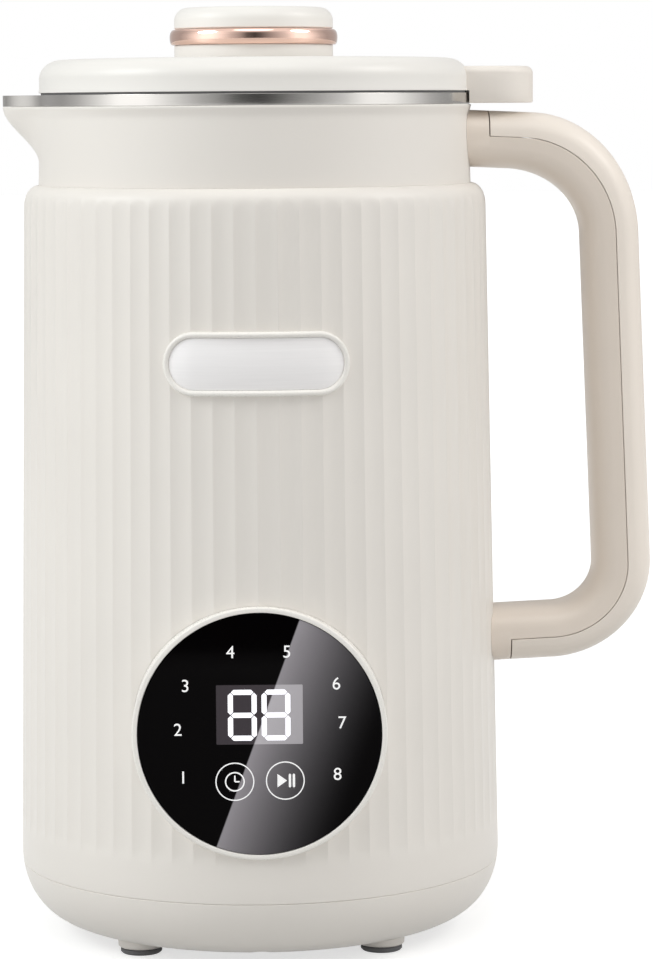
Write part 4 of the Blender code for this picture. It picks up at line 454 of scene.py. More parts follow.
def brushed(name, colour, roughness, depth, around_axis=True, line_scale=5000.0):
    """Metal with fine lines left by turning or brushing, and faint clouds of handling."""
    material, shader, place = blank(name)
    lines = noise(turned_place(place) if around_axis else place, line_scale, 4.0, 0.7)
    cloud = noise(place, 60.0, 3.0)
    base = colour_mix(ranged(cloud, 0.0, 0.25), shades(lines, colour, 0.94, 1.05), scaled(colour, 0.90))
    rough = calc("ADD", ranged(lines, roughness * 0.85, roughness * 1.2), ranged(cloud, -0.02, 0.03))
    fill(shader, {"Base Color": base, "Roughness": rough, "Metallic": 1.0})
    bump(shader, lines, 0.12, depth * MM)
    return material


def pearl(name, colour):
    """Pale satin lacquer with fine horizontal brush lines under a thin clear coat."""
    material, shader, place = blank(name)
    lines_at = node(place.id_data, "Mapping", {"Vector": place, "Scale": (0.02, 0.02, 1.0)}).outputs["Vector"]
    lines = noise(lines_at, 2500.0, 3.0, 0.6)
    drift = calc("MULTIPLY", ranged(noise(place, 45.0), 0.0, 1.0), 0.3)
    base = colour_mix(drift, shades(lines, colour, 0.975, 1.02), scaled(colour, 0.97))
    fill(shader, {"Base Color": base, "Roughness": ranged(lines, 0.42, 0.52), "Metallic": 0.05,
                  "Coat Weight": 0.06, "Coat Roughness": 0.25})
    bump(shader, lines, 0.1, 0.004 * MM)
    return material


def banded(name, first, second, scale, direction, metallic, roughness):
    """Thin parallel bands, for laminations and wound wire."""
    material, shader, place = blank(name)
    inputs = {"Vector": place, "Scale": scale, "Distortion": 0.3, "Detail": 1.0}
    wave = node(place.id_data, "TexWave", inputs, wave_type="BANDS", bands_direction=direction).outputs["Fac"]
    patch = ranged(noise(place, 90.0, 3.0), 0.0, 0.4)
    base = colour_mix(patch, colour_mix(wave, first, second), scaled(first, 0.8))
    rough = ranged(wave, roughness - 0.08, roughness + 0.08, 0.0, 1.0)
    fill(shader, {"Base Color": base, "Roughness": rough, "Metallic": metallic})
    bump(shader, wave, 0.4, 0.05 * MM)
    return material


def circuit_board(name):
    material, shader, place = blank(name)
    tracks = node(place.id_data, "TexBrick", {
        "Vector": place, "Scale": 160.0, "Mortar Size": 0.03,
        "Color1": (0.03, 0.17, 0.08, 1), "Color2": (0.02, 0.13, 0.06, 1), "Mortar": (0.09, 0.30, 0.13, 1),
    }).outputs["Color"]
    haze = ranged(noise(place, 200.0), 0.0, 0.3)
    base = colour_mix(haze, tracks, (0.02, 0.10, 0.05))
    fill(shader, {"Base Color": base, "Roughness": ranged(haze, 0.3, 0.45, 0.0, 0.3)})
    return material


# The sheen on the lens and the display window is a painted reflection: a slanting band painted into the base
# colour, fixed to the panel.
PAINTED_SHEEN_TURN = math.atan2(24.0, 64.8)
PAINTED_SHEEN_OFFSET = 0.6
PAINTED_SHEEN_WIDTH = 33.2


def past_sheen_edge(place):
    """How far a point lies to the right of the slanting edge of the painted sheen, a painted reflection, in
    millimetres.
    """
    parts = parts_from(place, (AXIS_X, 0, Z_PANEL), MM)
    along = calc("MULTIPLY", parts["X"], math.cos(PAINTED_SHEEN_TURN))
    rise = calc("MULTIPLY", parts["Z"], math.sin(PAINTED_SHEEN_TURN))
    return calc("ADD", calc("SUBTRACT", along, rise), PAINTED_SHEEN_OFFSET)


def smoked(name, dark, light, faded, power, roughness):
    """Dark see-through plastic with a painted reflection: a sheen painted into the base colour that starts at
    a slanting edge and fades to the right.
    """
    material, shader, place = blank(name)
    past = past_sheen_edge(place)
    edge = ranged(past, 0.0, 1.0, -0.1, 0.25)
    fade = calc("POWER", ranged(past, 1.0, faded, 0.0, PAINTED_SHEEN_WIDTH), power)
    cloud = ranged(noise(place, 35.0), 0.97, 1.03)
    share = calc("MULTIPLY", edge, calc("MULTIPLY", fade, cloud))
    rough = ranged(noise(place, 900.0), roughness, roughness + 0.04)
    # light is the colour of the painted reflection, mixed in where the painted sheen lies.
    base = colour_mix(share, dark, light)
    fill(shader, {"Base Color": base, "Roughness": rough, "Specular IOR Level": 0.03})
    return material


def lit_print(name, colour, strength):
    """White print with a painted glow, a little uneven: its emission brightens it though it is no lamp."""
    material, shader, place = blank(name)
    patch = ranged(noise(place, 500.0), 0.94, 1.0)
    base = colour_mix(patch, scaled(colour, 0.9), colour)
    # Painted glow: emission with no lamp behind it.
    fill(shader, {"Base Color": base, "Emission Color": base,
                  "Emission Strength": calc("MULTIPLY", patch, strength),
                  "Roughness": ranged(noise(place, 900.0), 0.3, 0.4)})
    return material


def rubber(name, colour, roughness=0.75):
    material, shader, place = blank(name)
    fine = noise(place, 1800.0, 4.0, 0.7)
    base = colour_mix(ranged(noise(place, 120.0, 3.0), 0.0, 0.5), colour, scaled(colour, 1.35))
    fill(shader, {"Base Color": base, "Roughness": ranged(fine, roughness - 0.06, roughness + 0.08)})
    bump(shader, fine, 0.3, 0.03 * MM)
    return material


CREAM_TONE = (0.797, 0.762, 0.714)
LID_TONE = (0.829, 0.808, 0.768)
TRIM_TONE = (0.878, 0.853, 0.808)
WARM_TONE = (0.800, 0.717, 0.634)
# The outer cover's tone is the handle plastic made paler for the light it takes from the right and above:
# painted light.
COVER_TONE_WITH_PAINTED_LIGHT = (0.850, 0.778, 0.700)
# The tab is moulded with the lid. Its darker, warmer tone stands in for the shade on its front: painted
# shade.
TAB_TONE_WITH_PAINTED_SHADE = (0.812, 0.760, 0.700)

CREAM = (plastic("cream_moulded_plastic", CREAM_TONE, 0.40), "cream_plastic")
CREAM_LID = (plastic("cream_lid_plastic", LID_TONE, 0.34, worn=0.5), "cream_plastic")
CREAM_TRIM = (plastic("cream_trim_plastic", TRIM_TONE, 0.28, grain_depth=0.006), "cream_plastic")
TAB_PLASTIC = (plastic("warm_tab_plastic_painted_shade", TAB_TONE_WITH_PAINTED_SHADE, 0.38, worn=0.4), "cream_plastic")
HANDLE_SHELL = (plastic("warm_handle_plastic", WARM_TONE, 0.38, worn=0.4), "handle_plastic")
HANDLE_COVER = (plastic("warm_cover_plastic_painted_light", COVER_TONE_WITH_PAINTED_LIGHT, 0.38, worn=0.4), "handle_plastic")
PLATE = (pearl("pearl_plate", (0.912, 0.896, 0.894)), "plate_grey")
# Lens and window: the light colour and its fade are the painted reflection laid over their own dark colours.
LENS = (smoked("black_lens_painted_sheen", (0.0012, 0.0008, 0.0010), (0.345, 0.325, 0.348), 0.0, 2.1, 0.05), "lens_black")
WINDOW = (smoked("smoked_window_painted_sheen", (0.062, 0.053, 0.060), (0.560, 0.535, 0.565), 0.5, 1.0, 0.08), "lens_black")
# The digits and the marks on the lens glow with painted light.
DIGITS = (lit_print("digits_with_painted_glow", (0.95, 0.95, 1.0), 0.55), "display_white")
PRINT = (lit_print("lit_print", (0.92, 0.92, 0.92), 0.22), "display_white")
STEEL = (brushed("brushed_steel", (0.62, 0.602, 0.575), 0.14, 0.003), "stainless")
POLISHED = (brushed("polished_steel", (0.66, 0.66, 0.65), 0.13, 0.002), "stainless")
ROSE = (brushed("rose_gold", (0.88, 0.62, 0.52), 0.07, 0.001), "rose_gold")
RUBBER = (rubber("dark_rubber", (0.14, 0.14, 0.143)), "rubber_dark")
SILICONE = (rubber("silicone", (0.62, 0.62, 0.60), 0.55), "silicone")
COPPER = (banded("wound_copper", (0.62, 0.27, 0.13), (0.30, 0.11, 0.05), 700.0, "Y", 1.0, 0.35), "copper")
IRON = (banded("laminated_iron", (0.30, 0.30, 0.31), (0.14, 0.14, 0.15), 1000.0, "Z", 0.8, 0.5), "iron")
ALUMINIUM = (brushed("cast_aluminium", (0.70, 0.70, 0.71), 0.42, 0.02, False, 700.0), "aluminium")
BOARD = (circuit_board("circuit_board"), "board_green")
BLACK = (plastic("black_plastic", (0.018, 0.018, 0.019), 0.45, 1800.0, 0.02), "black_plastic")
CARBON = (rubber("carbon", (0.03, 0.03, 0.032), 0.6), "carbon")

NODE_FINISH = {
    "brush_carrier": BLACK, "cooling_fan": BLACK, "reed_switch": BLACK,
    "carbon_brush_left": CARBON, "carbon_brush_right": CARBON,
    "field_coil_front": COPPER, "field_coil_rear": COPPER, "commutator": COPPER,
    "stator_core": IRON, "rotor_core": IRON, "lid_magnet": STEEL,
    "motor_top_bracket": ALUMINIUM, "motor_bottom_bracket": ALUMINIUM, "heat_spreader": ALUMINIUM,
    "power_board": BOARD, "display_board": BOARD,
    "display_cable": SILICONE, "touch_pad_left": SILICONE, "touch_pad_right": SILICONE,
    "shaft_seal": SILICONE, "digit_display": DIGITS, "chassis_plate": CREAM,
}
SOFT_EDGED_NODES = ("blade_lower", "blade_upper", "blade_nut", "drive_shaft", "knob_screw", "base_screw_1",
                    "base_screw_2", "base_screw_3")


def finish_frame():
    """Give every CAD node a finish, steel unless it is named, and soft edges to some."""
    for name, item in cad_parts.items():
        material, slot = NODE_FINISH.get(name, STEEL)
        item.data.materials.clear()
        item.data.materials.append(material)
    for name in SOFT_EDGED_NODES:
        bevel(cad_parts[name], 0.15 * MM, 35)


# Body


CORNER_POWER = 2.15
FLUTE_COUNT = 70
FLUTE_DEPTH = 0.38 * MM
# Where a flute's points lie between two ridges: close together near the ridges, to keep these crisp
FLUTE_SHARES = (0, 0.035, 0.09, 0.18, 0.30, 0.43, 0.57, 0.70, 0.82, 0.91, 0.965)
FLUTE_START = 10.5 * MM
FLUTE_START_FADE = 4.5 * MM
FLUTE_END = 4.4 * MM
FLUTE_END_FADE = 3.8 * MM
PANEL_HOLE_RADIUS = 37.36 * MM
PANEL_HOLE_DEPTH = 13.9 * MM
INLET_HOLE = (16.1 * MM, 12.1 * MM, 3.0 * MM)
INLET_HOLE_DEPTH = 16 * MM


def body_radius(z):
    if z < Z_CORNER:
        drop = (Z_CORNER - z) / (Z_CORNER - Z_BOWL)
        share = max(0.0, 1 - drop ** CORNER_POWER) ** (1 / CORNER_POWER)
        return mix(BOTTOM_RADIUS, BODY_RADIUS, share)
    return mix(BODY_RADIUS, SHOULDER_RADIUS, (z - Z_CORNER) / (Z_SHOULDER_FOOT - Z_CORNER))


def flute_strength(z):
    """How deep the flutes are at a height: they fade out at both ends."""
    foot = smooth((z - Z_SEAM - FLUTE_START) / FLUTE_START_FADE)
    head = smooth((Z_SHOULDER_FOOT + FLUTE_END - z) / FLUTE_END_FADE)
    return min(foot, head)


def fluted_ring(radius, depth, z):
    """Hollow flutes that meet in ridges, with a ridge at the front."""
    ring = []
    for flute in range(FLUTE_COUNT):
        for share in FLUTE_SHARES:
            angle = -math.pi / 2 + math.tau * (flute + share) / FLUTE_COUNT
            reach = radius - depth * (1 - (2 * share - 1) ** 2)
            ring.append(Vector((reach * math.cos(angle), reach * math.sin(angle), z)))
    return ring


def make_sleeve():
    foot = Z_SEAM + SEAM_GAP
    flute_foot = Z_SEAM + FLUTE_START
    levels = [foot + EDGE, *spread(foot + 2.0 * MM, flute_foot, 4)]
    levels += spread(flute_foot + 0.5 * MM, flute_foot + FLUTE_START_FADE, 8)
    levels += spread(flute_foot + 8.0 * MM, Z_SHOULDER_FOOT - 8.0 * MM, 24)
    levels += [Z_SHOULDER_FOOT - 3.0 * MM, Z_SHOULDER_FOOT]
    rings = [fluted_ring(body_radius(foot) - EDGE, 0, foot)]
    rings += [fluted_ring(body_radius(z), FLUTE_DEPTH * flute_strength(z), z) for z in levels]
    top_radius = NECK_RADIUS_LOW + 0.08 * MM
    for sine, cosine in quarter(18, 1):
        z = mix(Z_SHOULDER_FOOT, Z_SHOULDER, sine)
        radius = mix(top_radius, SHOULDER_RADIUS, cosine)
        rings.append(fluted_ring(radius, FLUTE_DEPTH * flute_strength(z), z))
    ledge = Z_COLLAR - GAP
    rings.append(fluted_ring(top_radius, 0, ledge))
    rings += [fluted_ring(top_radius - 3.0 * MM, 0, z) for z in (ledge, ledge - 2.4 * MM)]
    for z in (Z_COLLAR - 8.0 * MM, mix(Z_SEAM, Z_SHOULDER, 0.5), foot):
        rings.append(fluted_ring(body_radius(z) - SHELL_WALL, 0, z))
    sleeve = piece("sleeve_skin", loft(rings, loop=True), CREAM, "outer_sleeve")
    hole = rod(PANEL_HOLE_RADIUS, BEZEL_FACE - OVERRUN, BEZEL_FACE + PANEL_HOLE_DEPTH, HOLE_STEPS)
    inlet = prism(rounded_rectangle(*INLET_HOLE), INLET_FACE - INLET_HOLE_DEPTH, INLET_FACE + 2 * OVERRUN)
    carve(sleeve, [face_out(hole, Z_PANEL), face_out(inlet, Z_INLET)])


# Neck and pot


SPOUT_LENGTH = 11.5 * MM
SPOUT_HALF_ANGLE = math.radians(25)
SPOUT_POWER = 5
SPOUT_CROWDING = 0.6


def spout_ring(radius, extra, z):
    """A ring about the axis with the spout drawn out of it at -X, its points crowded there."""
    ring = []
    for i in range(RING_STEPS):
        turn = math.tau * i / RING_STEPS
        angle = turn - SPOUT_CROWDING * math.sin(turn)
        away = min(angle, math.tau - angle)
        weight = 0.0
        if away < SPOUT_HALF_ANGLE:
            weight = math.cos(math.pi / 2 * away / SPOUT_HALF_ANGLE) ** SPOUT_POWER
        reach = radius + extra * weight
        ring.append(Vector((-reach * math.cos(angle), -reach * math.sin(angle), z)))
    return ring


def spout_share(z):
    return smooth((z - Z_SPOUT) / (Z_NECK_TOP - Z_SPOUT))


def neck_radius(z):
    share = (max(z, Z_SHOULDER) - Z_SHOULDER) / (Z_NECK_TOP - Z_SHOULDER)
    return mix(NECK_RADIUS_LOW, NECK_RADIUS_HIGH, share)


def lip_out(z):
    """How far the neck flares out at a height, into the lip under the rim."""
    return LIP * smooth(1 - (Z_NECK_TOP - z) / LIP_HEIGHT)


def make_collar():
    levels = [Z_COLLAR, Z_SHOULDER, *spread(Z_SPOUT - 2 * MM, Z_NECK_TOP - LIP_HEIGHT, 18)]
    levels += [Z_NECK_TOP - drop * MM for drop in (2.8, 2.1, 1.5, 1.0, 0.6)]
    rings = []
    for z in levels:
        out = lip_out(z)
        rings.append(spout_ring(neck_radius(z) + out, SPOUT_LENGTH * spout_share(z) - out, z))
    for sine, cosine in quarter(5, 1):
        out = LIP - LIP_CORNER * (1 - cosine)
        z = Z_NECK_TOP - LIP_CORNER * (1 - sine)
        rings.append(spout_ring(NECK_RADIUS_HIGH + out, SPOUT_LENGTH - out, z))
    rings.append(spout_ring(NECK_RADIUS_HIGH - SHELL_WALL, SPOUT_LENGTH, Z_NECK_TOP))
    for z in reversed(levels):
        rings.append(spout_ring(neck_radius(z) - SHELL_WALL, SPOUT_LENGTH * spout_share(z), z))
    piece("collar_skin", loft(rings, loop=True), CREAM, "collar")


def make_pot():
    """The steel pot; its rolled rim is the bright band under the lid."""
    wall = POT_RADIUS + POT_WALL
    extra = SPOUT_LENGTH + 2.0 * MM
    rim_extra = SPOUT_LENGTH - 0.5 * MM
    hole = 8.3 * MM
    corner = 10.0 * MM
    outer = corner + POT_WALL
    roll = 1.2 * MM
    roll_radius = RIM_RADIUS - 4.7 * MM
    z_under = Z_NECK_TOP + 0.06 * MM
    z_top = Z_RIM_TOP - RIM_DROP
    levels = spread(Z_SPOUT, Z_NECK_TOP - 0.5 * MM, 16)
    rings = [spout_ring(hole, 0, Z_POT_FLOOR)]
    for sine, cosine in quarter(8):
        rings.append(spout_ring(POT_RADIUS - corner * (1 - sine), 0, Z_POT_FLOOR + corner * (1 - cosine)))
    rings += [spout_ring(POT_RADIUS, extra * spout_share(z), z) for z in levels]
    for sine, cosine in quarter(4):
        rings.append(spout_ring(roll_radius - roll * (1 - sine), rim_extra, z_top - roll * (1 - sine) * 0.9))
    for sine, cosine in quarter(5):
        radius = RIM_RADIUS - RIM_TOP_EDGE * (1 - sine)
        rings.append(spout_ring(radius, rim_extra, z_top - RIM_TOP_EDGE * (1 - cosine)))
    for sine, cosine in quarter(5):
        radius = RIM_RADIUS - RIM_LOW_EDGE * (1 - cosine)
        rings.append(spout_ring(radius, rim_extra, z_under + RIM_LOW_EDGE * (1 - sine)))
    rings.append(spout_ring(wall + 0.3 * MM, extra, z_under))
    rings.append(spout_ring(wall, extra, Z_FLANGE))
    rings += [spout_ring(wall, extra * spout_share(z), z) for z in reversed(levels[:-1])]
    for sine, cosine in reversed(quarter(8)):
        rings.append(spout_ring(wall - outer * (1 - sine), 0, Z_POT + outer * (1 - cosine)))
    rings.append(spout_ring(hole, 0, Z_POT))
    piece("pot_skin", loft(rings, loop=True), STEEL, "pot")


# Base


FOOT_X = 36.4 * MM
FOOT_Y = 39.0 * MM
SCREW_CIRCLE = 60 * MM
SCREW_TURNS = (30, 150, 270)
SCREW_HOLE = 3.1 * MM
VENT_COUNT = 12
VENT_CIRCLE = 21 * MM
VENT_SIZE = (18 * MM, 3.2 * MM)


def bowl_profile(top):
    """Outside of the bowl up to its lip, then back down its inside."""
    seam_radius = body_radius(Z_SEAM)
    lip = seam_radius - SHELL_WALL - GAP
    lip_top = Z_SEAM + 2.7 * MM
    steps, inner_steps = 28, 7
    profile = [(0, Z_BOWL), (BOTTOM_RADIUS - 2 * MM, Z_BOWL)]
    for i in range(steps):
        z = Z_BOWL + (Z_SEAM - EDGE - Z_BOWL) * (i / steps) ** 2
        profile.append((body_radius(z), z))
    profile += [(body_radius(Z_SEAM - EDGE), Z_SEAM - EDGE), (seam_radius - EDGE, Z_SEAM), (lip, Z_SEAM),
                (lip, lip_top), (lip - 1.6 * MM, lip_top)]
    for i in range(inner_steps - 1, 0, -1):
        z = Z_BOWL + (Z_SEAM - Z_BOWL) * (i / inner_steps) ** 2
        profile.append((body_radius(z) - SHELL_WALL, z + SHELL_WALL / 2))
    return profile + [(BOTTOM_RADIUS - 2 * SHELL_WALL, top), (0, top)]


def make_base():
    top = Z_BOWL + SHELL_WALL
    under = Z_BOWL - OVERRUN
    bowl = piece("base_skin", turned(bowl_profile(top), WIDE_STEPS), CREAM, "base_bowl")
    corners = [(sx * FOOT_X, sy * FOOT_Y) for sx in (-1, 1) for sy in (-1, 1)]
    turns = [math.radians(degrees) for degrees in SCREW_TURNS]
    screws = [(SCREW_CIRCLE * math.cos(turn), SCREW_CIRCLE * math.sin(turn)) for turn in turns]
    boss = in_mm((0, 1.9), (6.6, 1.9), (7.0, 2.3)) + [(7.2 * MM, top), (0, top)]
    bosses = [turned(boss, 48, at) for at in corners]
    posts = [rod(4.2 * MM, top, Z_SEAM + 2.6 * MM, centre=at) for at in screws]
    carve(bowl, [merged(bosses + posts)], "UNION")
    cuts = []
    for i in range(VENT_COUNT):
        slot = swung(stadium(*VENT_SIZE), VENT_CIRCLE, math.tau * (i + 0.5) / VENT_COUNT)
        cuts.append(prism(slot, under, top + OVERRUN))
    cuts += [rod(SCREW_HOLE, under, Z_BOWL + 6 * MM, centre=at) for at in screws]
    cuts += [rod(3.2 * MM, 0, 4.4 * MM, 24, at) for at in corners]
    carve(bowl, [merged(cuts)])
    pad = in_mm((0, 0.25), (4.6, 0.25), (5.0, 0), (5.8, 0), (6.3, 0.5), (6.25, 1.2), (5.9, 1.6), (3.0, 1.6),
                (3.0, 4.1), (0, 4.1))
    names = ("foot_front_left", "foot_rear_left", "foot_front_right", "foot_rear_right")
    for name, at in zip(names, corners):
        piece(name + "_pad", turned(pad, 64, at), RUBBER, name, sharp=50)


# Handle


HANDLE_DEPTH = 27.0 * MM
GRIP_THICKNESS = 17.9 * MM
COVER_THICKNESS = 7.9 * MM
HANDLE_WALL = 2.4 * MM
SECTION_POWER = 2.7
SECTION_STEPS = 16
SEAM_WIDTH = 0.16 * MM
SEAM_CHAMFER = 0.18 * MM
CORNER_STEPS = 22
GRIP_STEPS = 8


def handle_edge(outer):
    """Points (x, z) down one edge of the handle: upper arm, corner, grip, corner, lower arm."""
    reach_low = HANDLE_REACH
    reach_top = HANDLE_REACH - 3.9 * MM
    if outer:
        tall, low_tall, wide_share, low_share = 38.3 * MM, 30.5 * MM, 0.7205, 0.6830
        z_root, z_arm, z_end = Z_HANDLE_TOP, Z_HANDLE_TOP - 1.1 * MM, Z_HANDLE_FOOT
    else:
        tall, low_tall, wide_share, low_share = 20.7 * MM, 12.6 * MM, 0.8225, 0.4583
        reach_low -= GRIP_THICKNESS
        reach_top -= GRIP_THICKNESS
        z_root = Z_HANDLE_TOP - 17.4 * MM
        z_arm = z_root - 0.8 * MM
        z_end = Z_HANDLE_FOOT + 17.1 * MM
    z_low_arm = z_end + 1.4 * MM
    wide = wide_share * (reach_top - SHOULDER_RADIUS)
    low_wide = low_share * (reach_low - BODY_RADIUS)
    points = [(POT_RADIUS, z_root)]
    for sine, cosine in quarter(CORNER_STEPS):
        points.append((reach_top - wide * (1 - sine), z_arm - tall * (1 - cosine)))
    x_top, z_top = points[-1]
    for i in range(1, GRIP_STEPS):
        share = i / GRIP_STEPS
        points.append((mix(x_top, reach_low, share), mix(z_top, z_low_arm + low_tall, share)))
    for sine, cosine in quarter(CORNER_STEPS):
        points.append((reach_low - low_wide * (1 - cosine), z_low_arm + low_tall * (1 - sine)))
    points.append((POT_RADIUS, z_end))
    return points


def arm_station(x, upper):
    """A pair of points (inner edge, outer edge) straight above each other on an arm."""
    pair = []
    for outer in (False, True):
        points = handle_edge(outer)
        (x0, z0), (x1, z1) = points[:2] if upper else points[:-3:-1]
        pair.append((x, mix(z0, z1, (x - x0) / (x1 - x0))))
    return pair


def half_depth(share):
    return HANDLE_DEPTH / 2 * (1 - abs(2 * share - 1) ** SECTION_POWER) ** (1 / SECTION_POWER)


def flipped(points):
    return [(share, -y) for share, y in points]


def mirrored(points):
    """The points as given, then mirrored in y and in the other order."""
    return points + flipped(reversed(points))


def side_points(limit, side, chamfered=False):
    """The section's outside from the seam to one edge of the handle, on the +y half."""
    end = math.acos(abs(2 * limit - 1) ** (SECTION_POWER / 2))
    if (limit > 0.5) != (side > 0):
        end = math.pi - end
    points = []
    for i in range(SECTION_STEPS, 0, -1):
        cosine = math.cos(end * (i - 0.5) / (SECTION_STEPS - 0.5))
        share = 0.5 + side * 0.5 * math.copysign(abs(cosine) ** (2 / SECTION_POWER), cosine)
        points.append((share, half_depth(share)))
    if chamfered:
        share, depth = points[0]
        inner = share + side * SEAM_CHAMFER / GRIP_THICKNESS
        points[:2] = [(share, depth - SEAM_CHAMFER), (inner, half_depth(inner))]
    return points


def spaced(corners, count):
    """Points spaced evenly along a path of corners."""
    lengths = [math.dist(a, b) for a, b in zip(corners, corners[1:])]
    points = []
    for i in range(count):
        rest = sum(lengths) * (i + 0.5) / count
        at = 0
        while rest > lengths[at]:
            rest -= lengths[at]
            at += 1
        points.append(tuple(mix(a, b, rest / lengths[at]) for a, b in zip(corners[at], corners[at + 1])))
    return points


def across_seam(cut_share):
    """Points straight across the section at the seam."""
    half = half_depth(cut_share) - SEAM_CHAMFER
    return mirrored([(cut_share, half * (1 - (i + 1) / (SECTION_STEPS + 1.5))) for i in range(SECTION_STEPS)])


def round_hollow(cut_share, floor_share):
    """Points round the hollow between the seam and the wall."""
    half = HANDLE_DEPTH / 2 - HANDLE_WALL
    turn_share = mix(floor_share, cut_share, 0.25)
    reach = [share * GRIP_THICKNESS for share in (cut_share, turn_share, floor_share)]
    corners = [(reach[0], half), (reach[1], half), (reach[2], half - HANDLE_WALL), (reach[2], 0)]
    return mirrored([(x / GRIP_THICKNESS, y) for x, y in spaced(corners, SECTION_STEPS)])


def handle_part(name, top, foot, finish, node_name):
    """A moulded half from (x, outline) stations on both arms; top's last outline goes round the grip."""
    curve = list(zip(handle_edge(False), handle_edge(True)))[1:-1]
    rows = [(arm_station(x, True), outline) for x, outline in top]
    rows += [(pair, top[-1][1]) for pair in curve]
    rows += [(arm_station(x, False), outline) for x, outline in foot]
    rings = []
    for ((xi, zi), (xo, zo)), outline in rows:
        rings.append([Vector((mix(xi, xo, share), y, mix(zi, zo, share))) for share, y in outline])
    bm = loft(rings)
    bmesh.ops.triangulate(bm, faces=bm.faces)
    return piece(name, bm, finish, node_name)


def make_handle():
    """Two moulded halves that meet at a fine seam, hollow inside, as in the frame."""
    seam = 1 - COVER_THICKNESS / GRIP_THICKNESS
    cut_share = seam - SEAM_WIDTH / GRIP_THICKNESS
    wall_share = HANDLE_WALL / GRIP_THICKNESS
    step = 0.2 * MM
    start = LOW["handle_outer_cover"].x - AXIS_X
    end = BODY_RADIUS + 3.8 * MM
    inner = handle_edge(False)
    cavity_start = mix(start, inner[1][0], 0.67)
    cavity_end = mix(end, inner[-2][0], 0.49)
    shell_start = start - SEAM_WIDTH
    shell_end = end - SEAM_WIDTH
    full = flipped(mirrored(side_points(cut_share, -1))) + mirrored(side_points(cut_share, 1))
    near = flipped(mirrored(side_points(cut_share, -1, True)))
    solid = near + across_seam(cut_share)
    hollow = near + round_hollow(cut_share, wall_share)
    top = [(POT_RADIUS, full), (shell_start - step, full), (shell_start, solid), (cavity_start - step, solid),
           (cavity_start, hollow)]
    foot = [(cavity_end, hollow), (cavity_end - step, solid), (shell_end, solid), (shell_end - step, full),
            (POT_RADIUS, full)]
    shell = handle_part("handle_shell_skin", top, foot, HANDLE_SHELL, "handle_inner_shell")
    slack = 0.05 * MM
    ends = (Z_HANDLE_FOOT - 4 * MM, Z_SHOULDER_FOOT)
    body = [fluted_ring(body_radius(z) + slack, FLUTE_DEPTH, z) for z in ends]
    levels = (Z_SHOULDER, *spread(Z_NECK_TOP - LIP_HEIGHT, Z_NECK_TOP, 5))
    neck = [(0, Z_SHOULDER), *((neck_radius(z) + lip_out(z) + slack, z) for z in levels), (0, Z_NECK_TOP)]
    carve(shell, [loft(body), turned(neck, 320)])
    far = mirrored(side_points(seam, 1, True))
    solid = far + across_seam(seam)[::-1]
    hollow = far + round_hollow(seam, 1 - wall_share)[::-1]
    top = [(start, solid), (cavity_start - step, solid), (cavity_start, hollow)]
    foot = [(cavity_end, hollow), (cavity_end - step, solid), (end, solid)]
    handle_part("handle_cover_skin", top, foot, HANDLE_COVER, "handle_outer_cover")


# Panel


LENS_RADIUS = 35.6 * MM
BEZEL_RADIUS = 37.3 * MM
BEZEL_DEPTH = 13.4 * MM
PRINT_DEPTH = 0.3 * MM
# Places and sizes of the marks on the lens, in millimetres from the panel's centre
WINDOW_UP = 5.85
DIGIT_LEFTS = (("digit_tens", -9.2), ("digit_units", 0.6))
DIGIT_WIDTH = 8.4
DIGIT_TOP = 13.2
DIGIT_FOOT = -1.8
DIGIT_STROKE = 1.5
DIGIT_GAP = 0.16
LEFT_KEY = (-7.35, -13.9)
RIGHT_KEY = (7.35, -13.7)
HAND_STROKE = 0.42
PAUSE_STROKE = 0.7
NUMBER_SIZE = 5.2
NUMBER_PLACES = ((-22.4, -12.7), (-23.8, 1.4), (-21.5, 14.3), (-8.3, 24.1),
                 (8.1, 24.1), (22.4, 14.6), (24.0, 3.1), (22.6, -12.1))


def make_panel():
    front, back = BEZEL_FACE + 0.1 * MM, BEZEL_FACE + BEZEL_DEPTH
    inner, seat = LENS_RADIUS + 0.15 * MM, LENS_RADIUS - 2 * MM
    step = LENS_FACE + 2.0 * MM
    profile = rounded([(inner, front), (BEZEL_RADIUS, front), (BEZEL_RADIUS, back), (seat, back),
                       (seat, step), (inner, step)], {0: 0.25 * MM, 1: 0.7 * MM}, 5)
    piece("bezel_skin", face_out(turned(profile), Z_PANEL), CREAM_TRIM, "panel_bezel")
    back = LENS_FACE + 1.6 * MM
    profile = rounded([(0, LENS_FACE), (LENS_RADIUS, LENS_FACE), (LENS_RADIUS, back), (0, back)],
                      {1: 0.3 * MM}, 4)
    piece("lens_skin", face_out(turned(profile), Z_PANEL), LENS, "panel_lens")
    window = rounded_rectangle(12.6 * MM, 8.75 * MM, 0.3 * MM)
    window = prism(window, LENS_FACE - 0.02 * MM, LENS_FACE + 0.2 * MM)
    piece("display_window", face_out(window, Z_PANEL + WINDOW_UP * MM), WINDOW)
    make_digits()
    make_marks()


def mark(name, shapes, finish, proud=0.05):
    """Flat shapes printed on the lens, drawn in (across, up) from the panel's centre."""
    front, back = LENS_FACE - proud * MM, LENS_FACE + PRINT_DEPTH
    parts = [face_out(prism(shape, front, back), Z_PANEL) for shape in shapes]
    piece(name, merged(parts), finish)


def bar(x0, z0, x1, z1, stroke):
    """A segment with pointed ends between two points, in millimetres."""
    start = Vector((x0, z0))
    end = Vector((x1, z1))
    along = (end - start).normalized()
    side = Vector((-along.y, along.x))
    half = stroke / 2
    corners = (start, start + along * half - side * half, end - along * half - side * half, end,
               end - along * half + side * half, start + along * half + side * half)
    return in_mm(*corners)


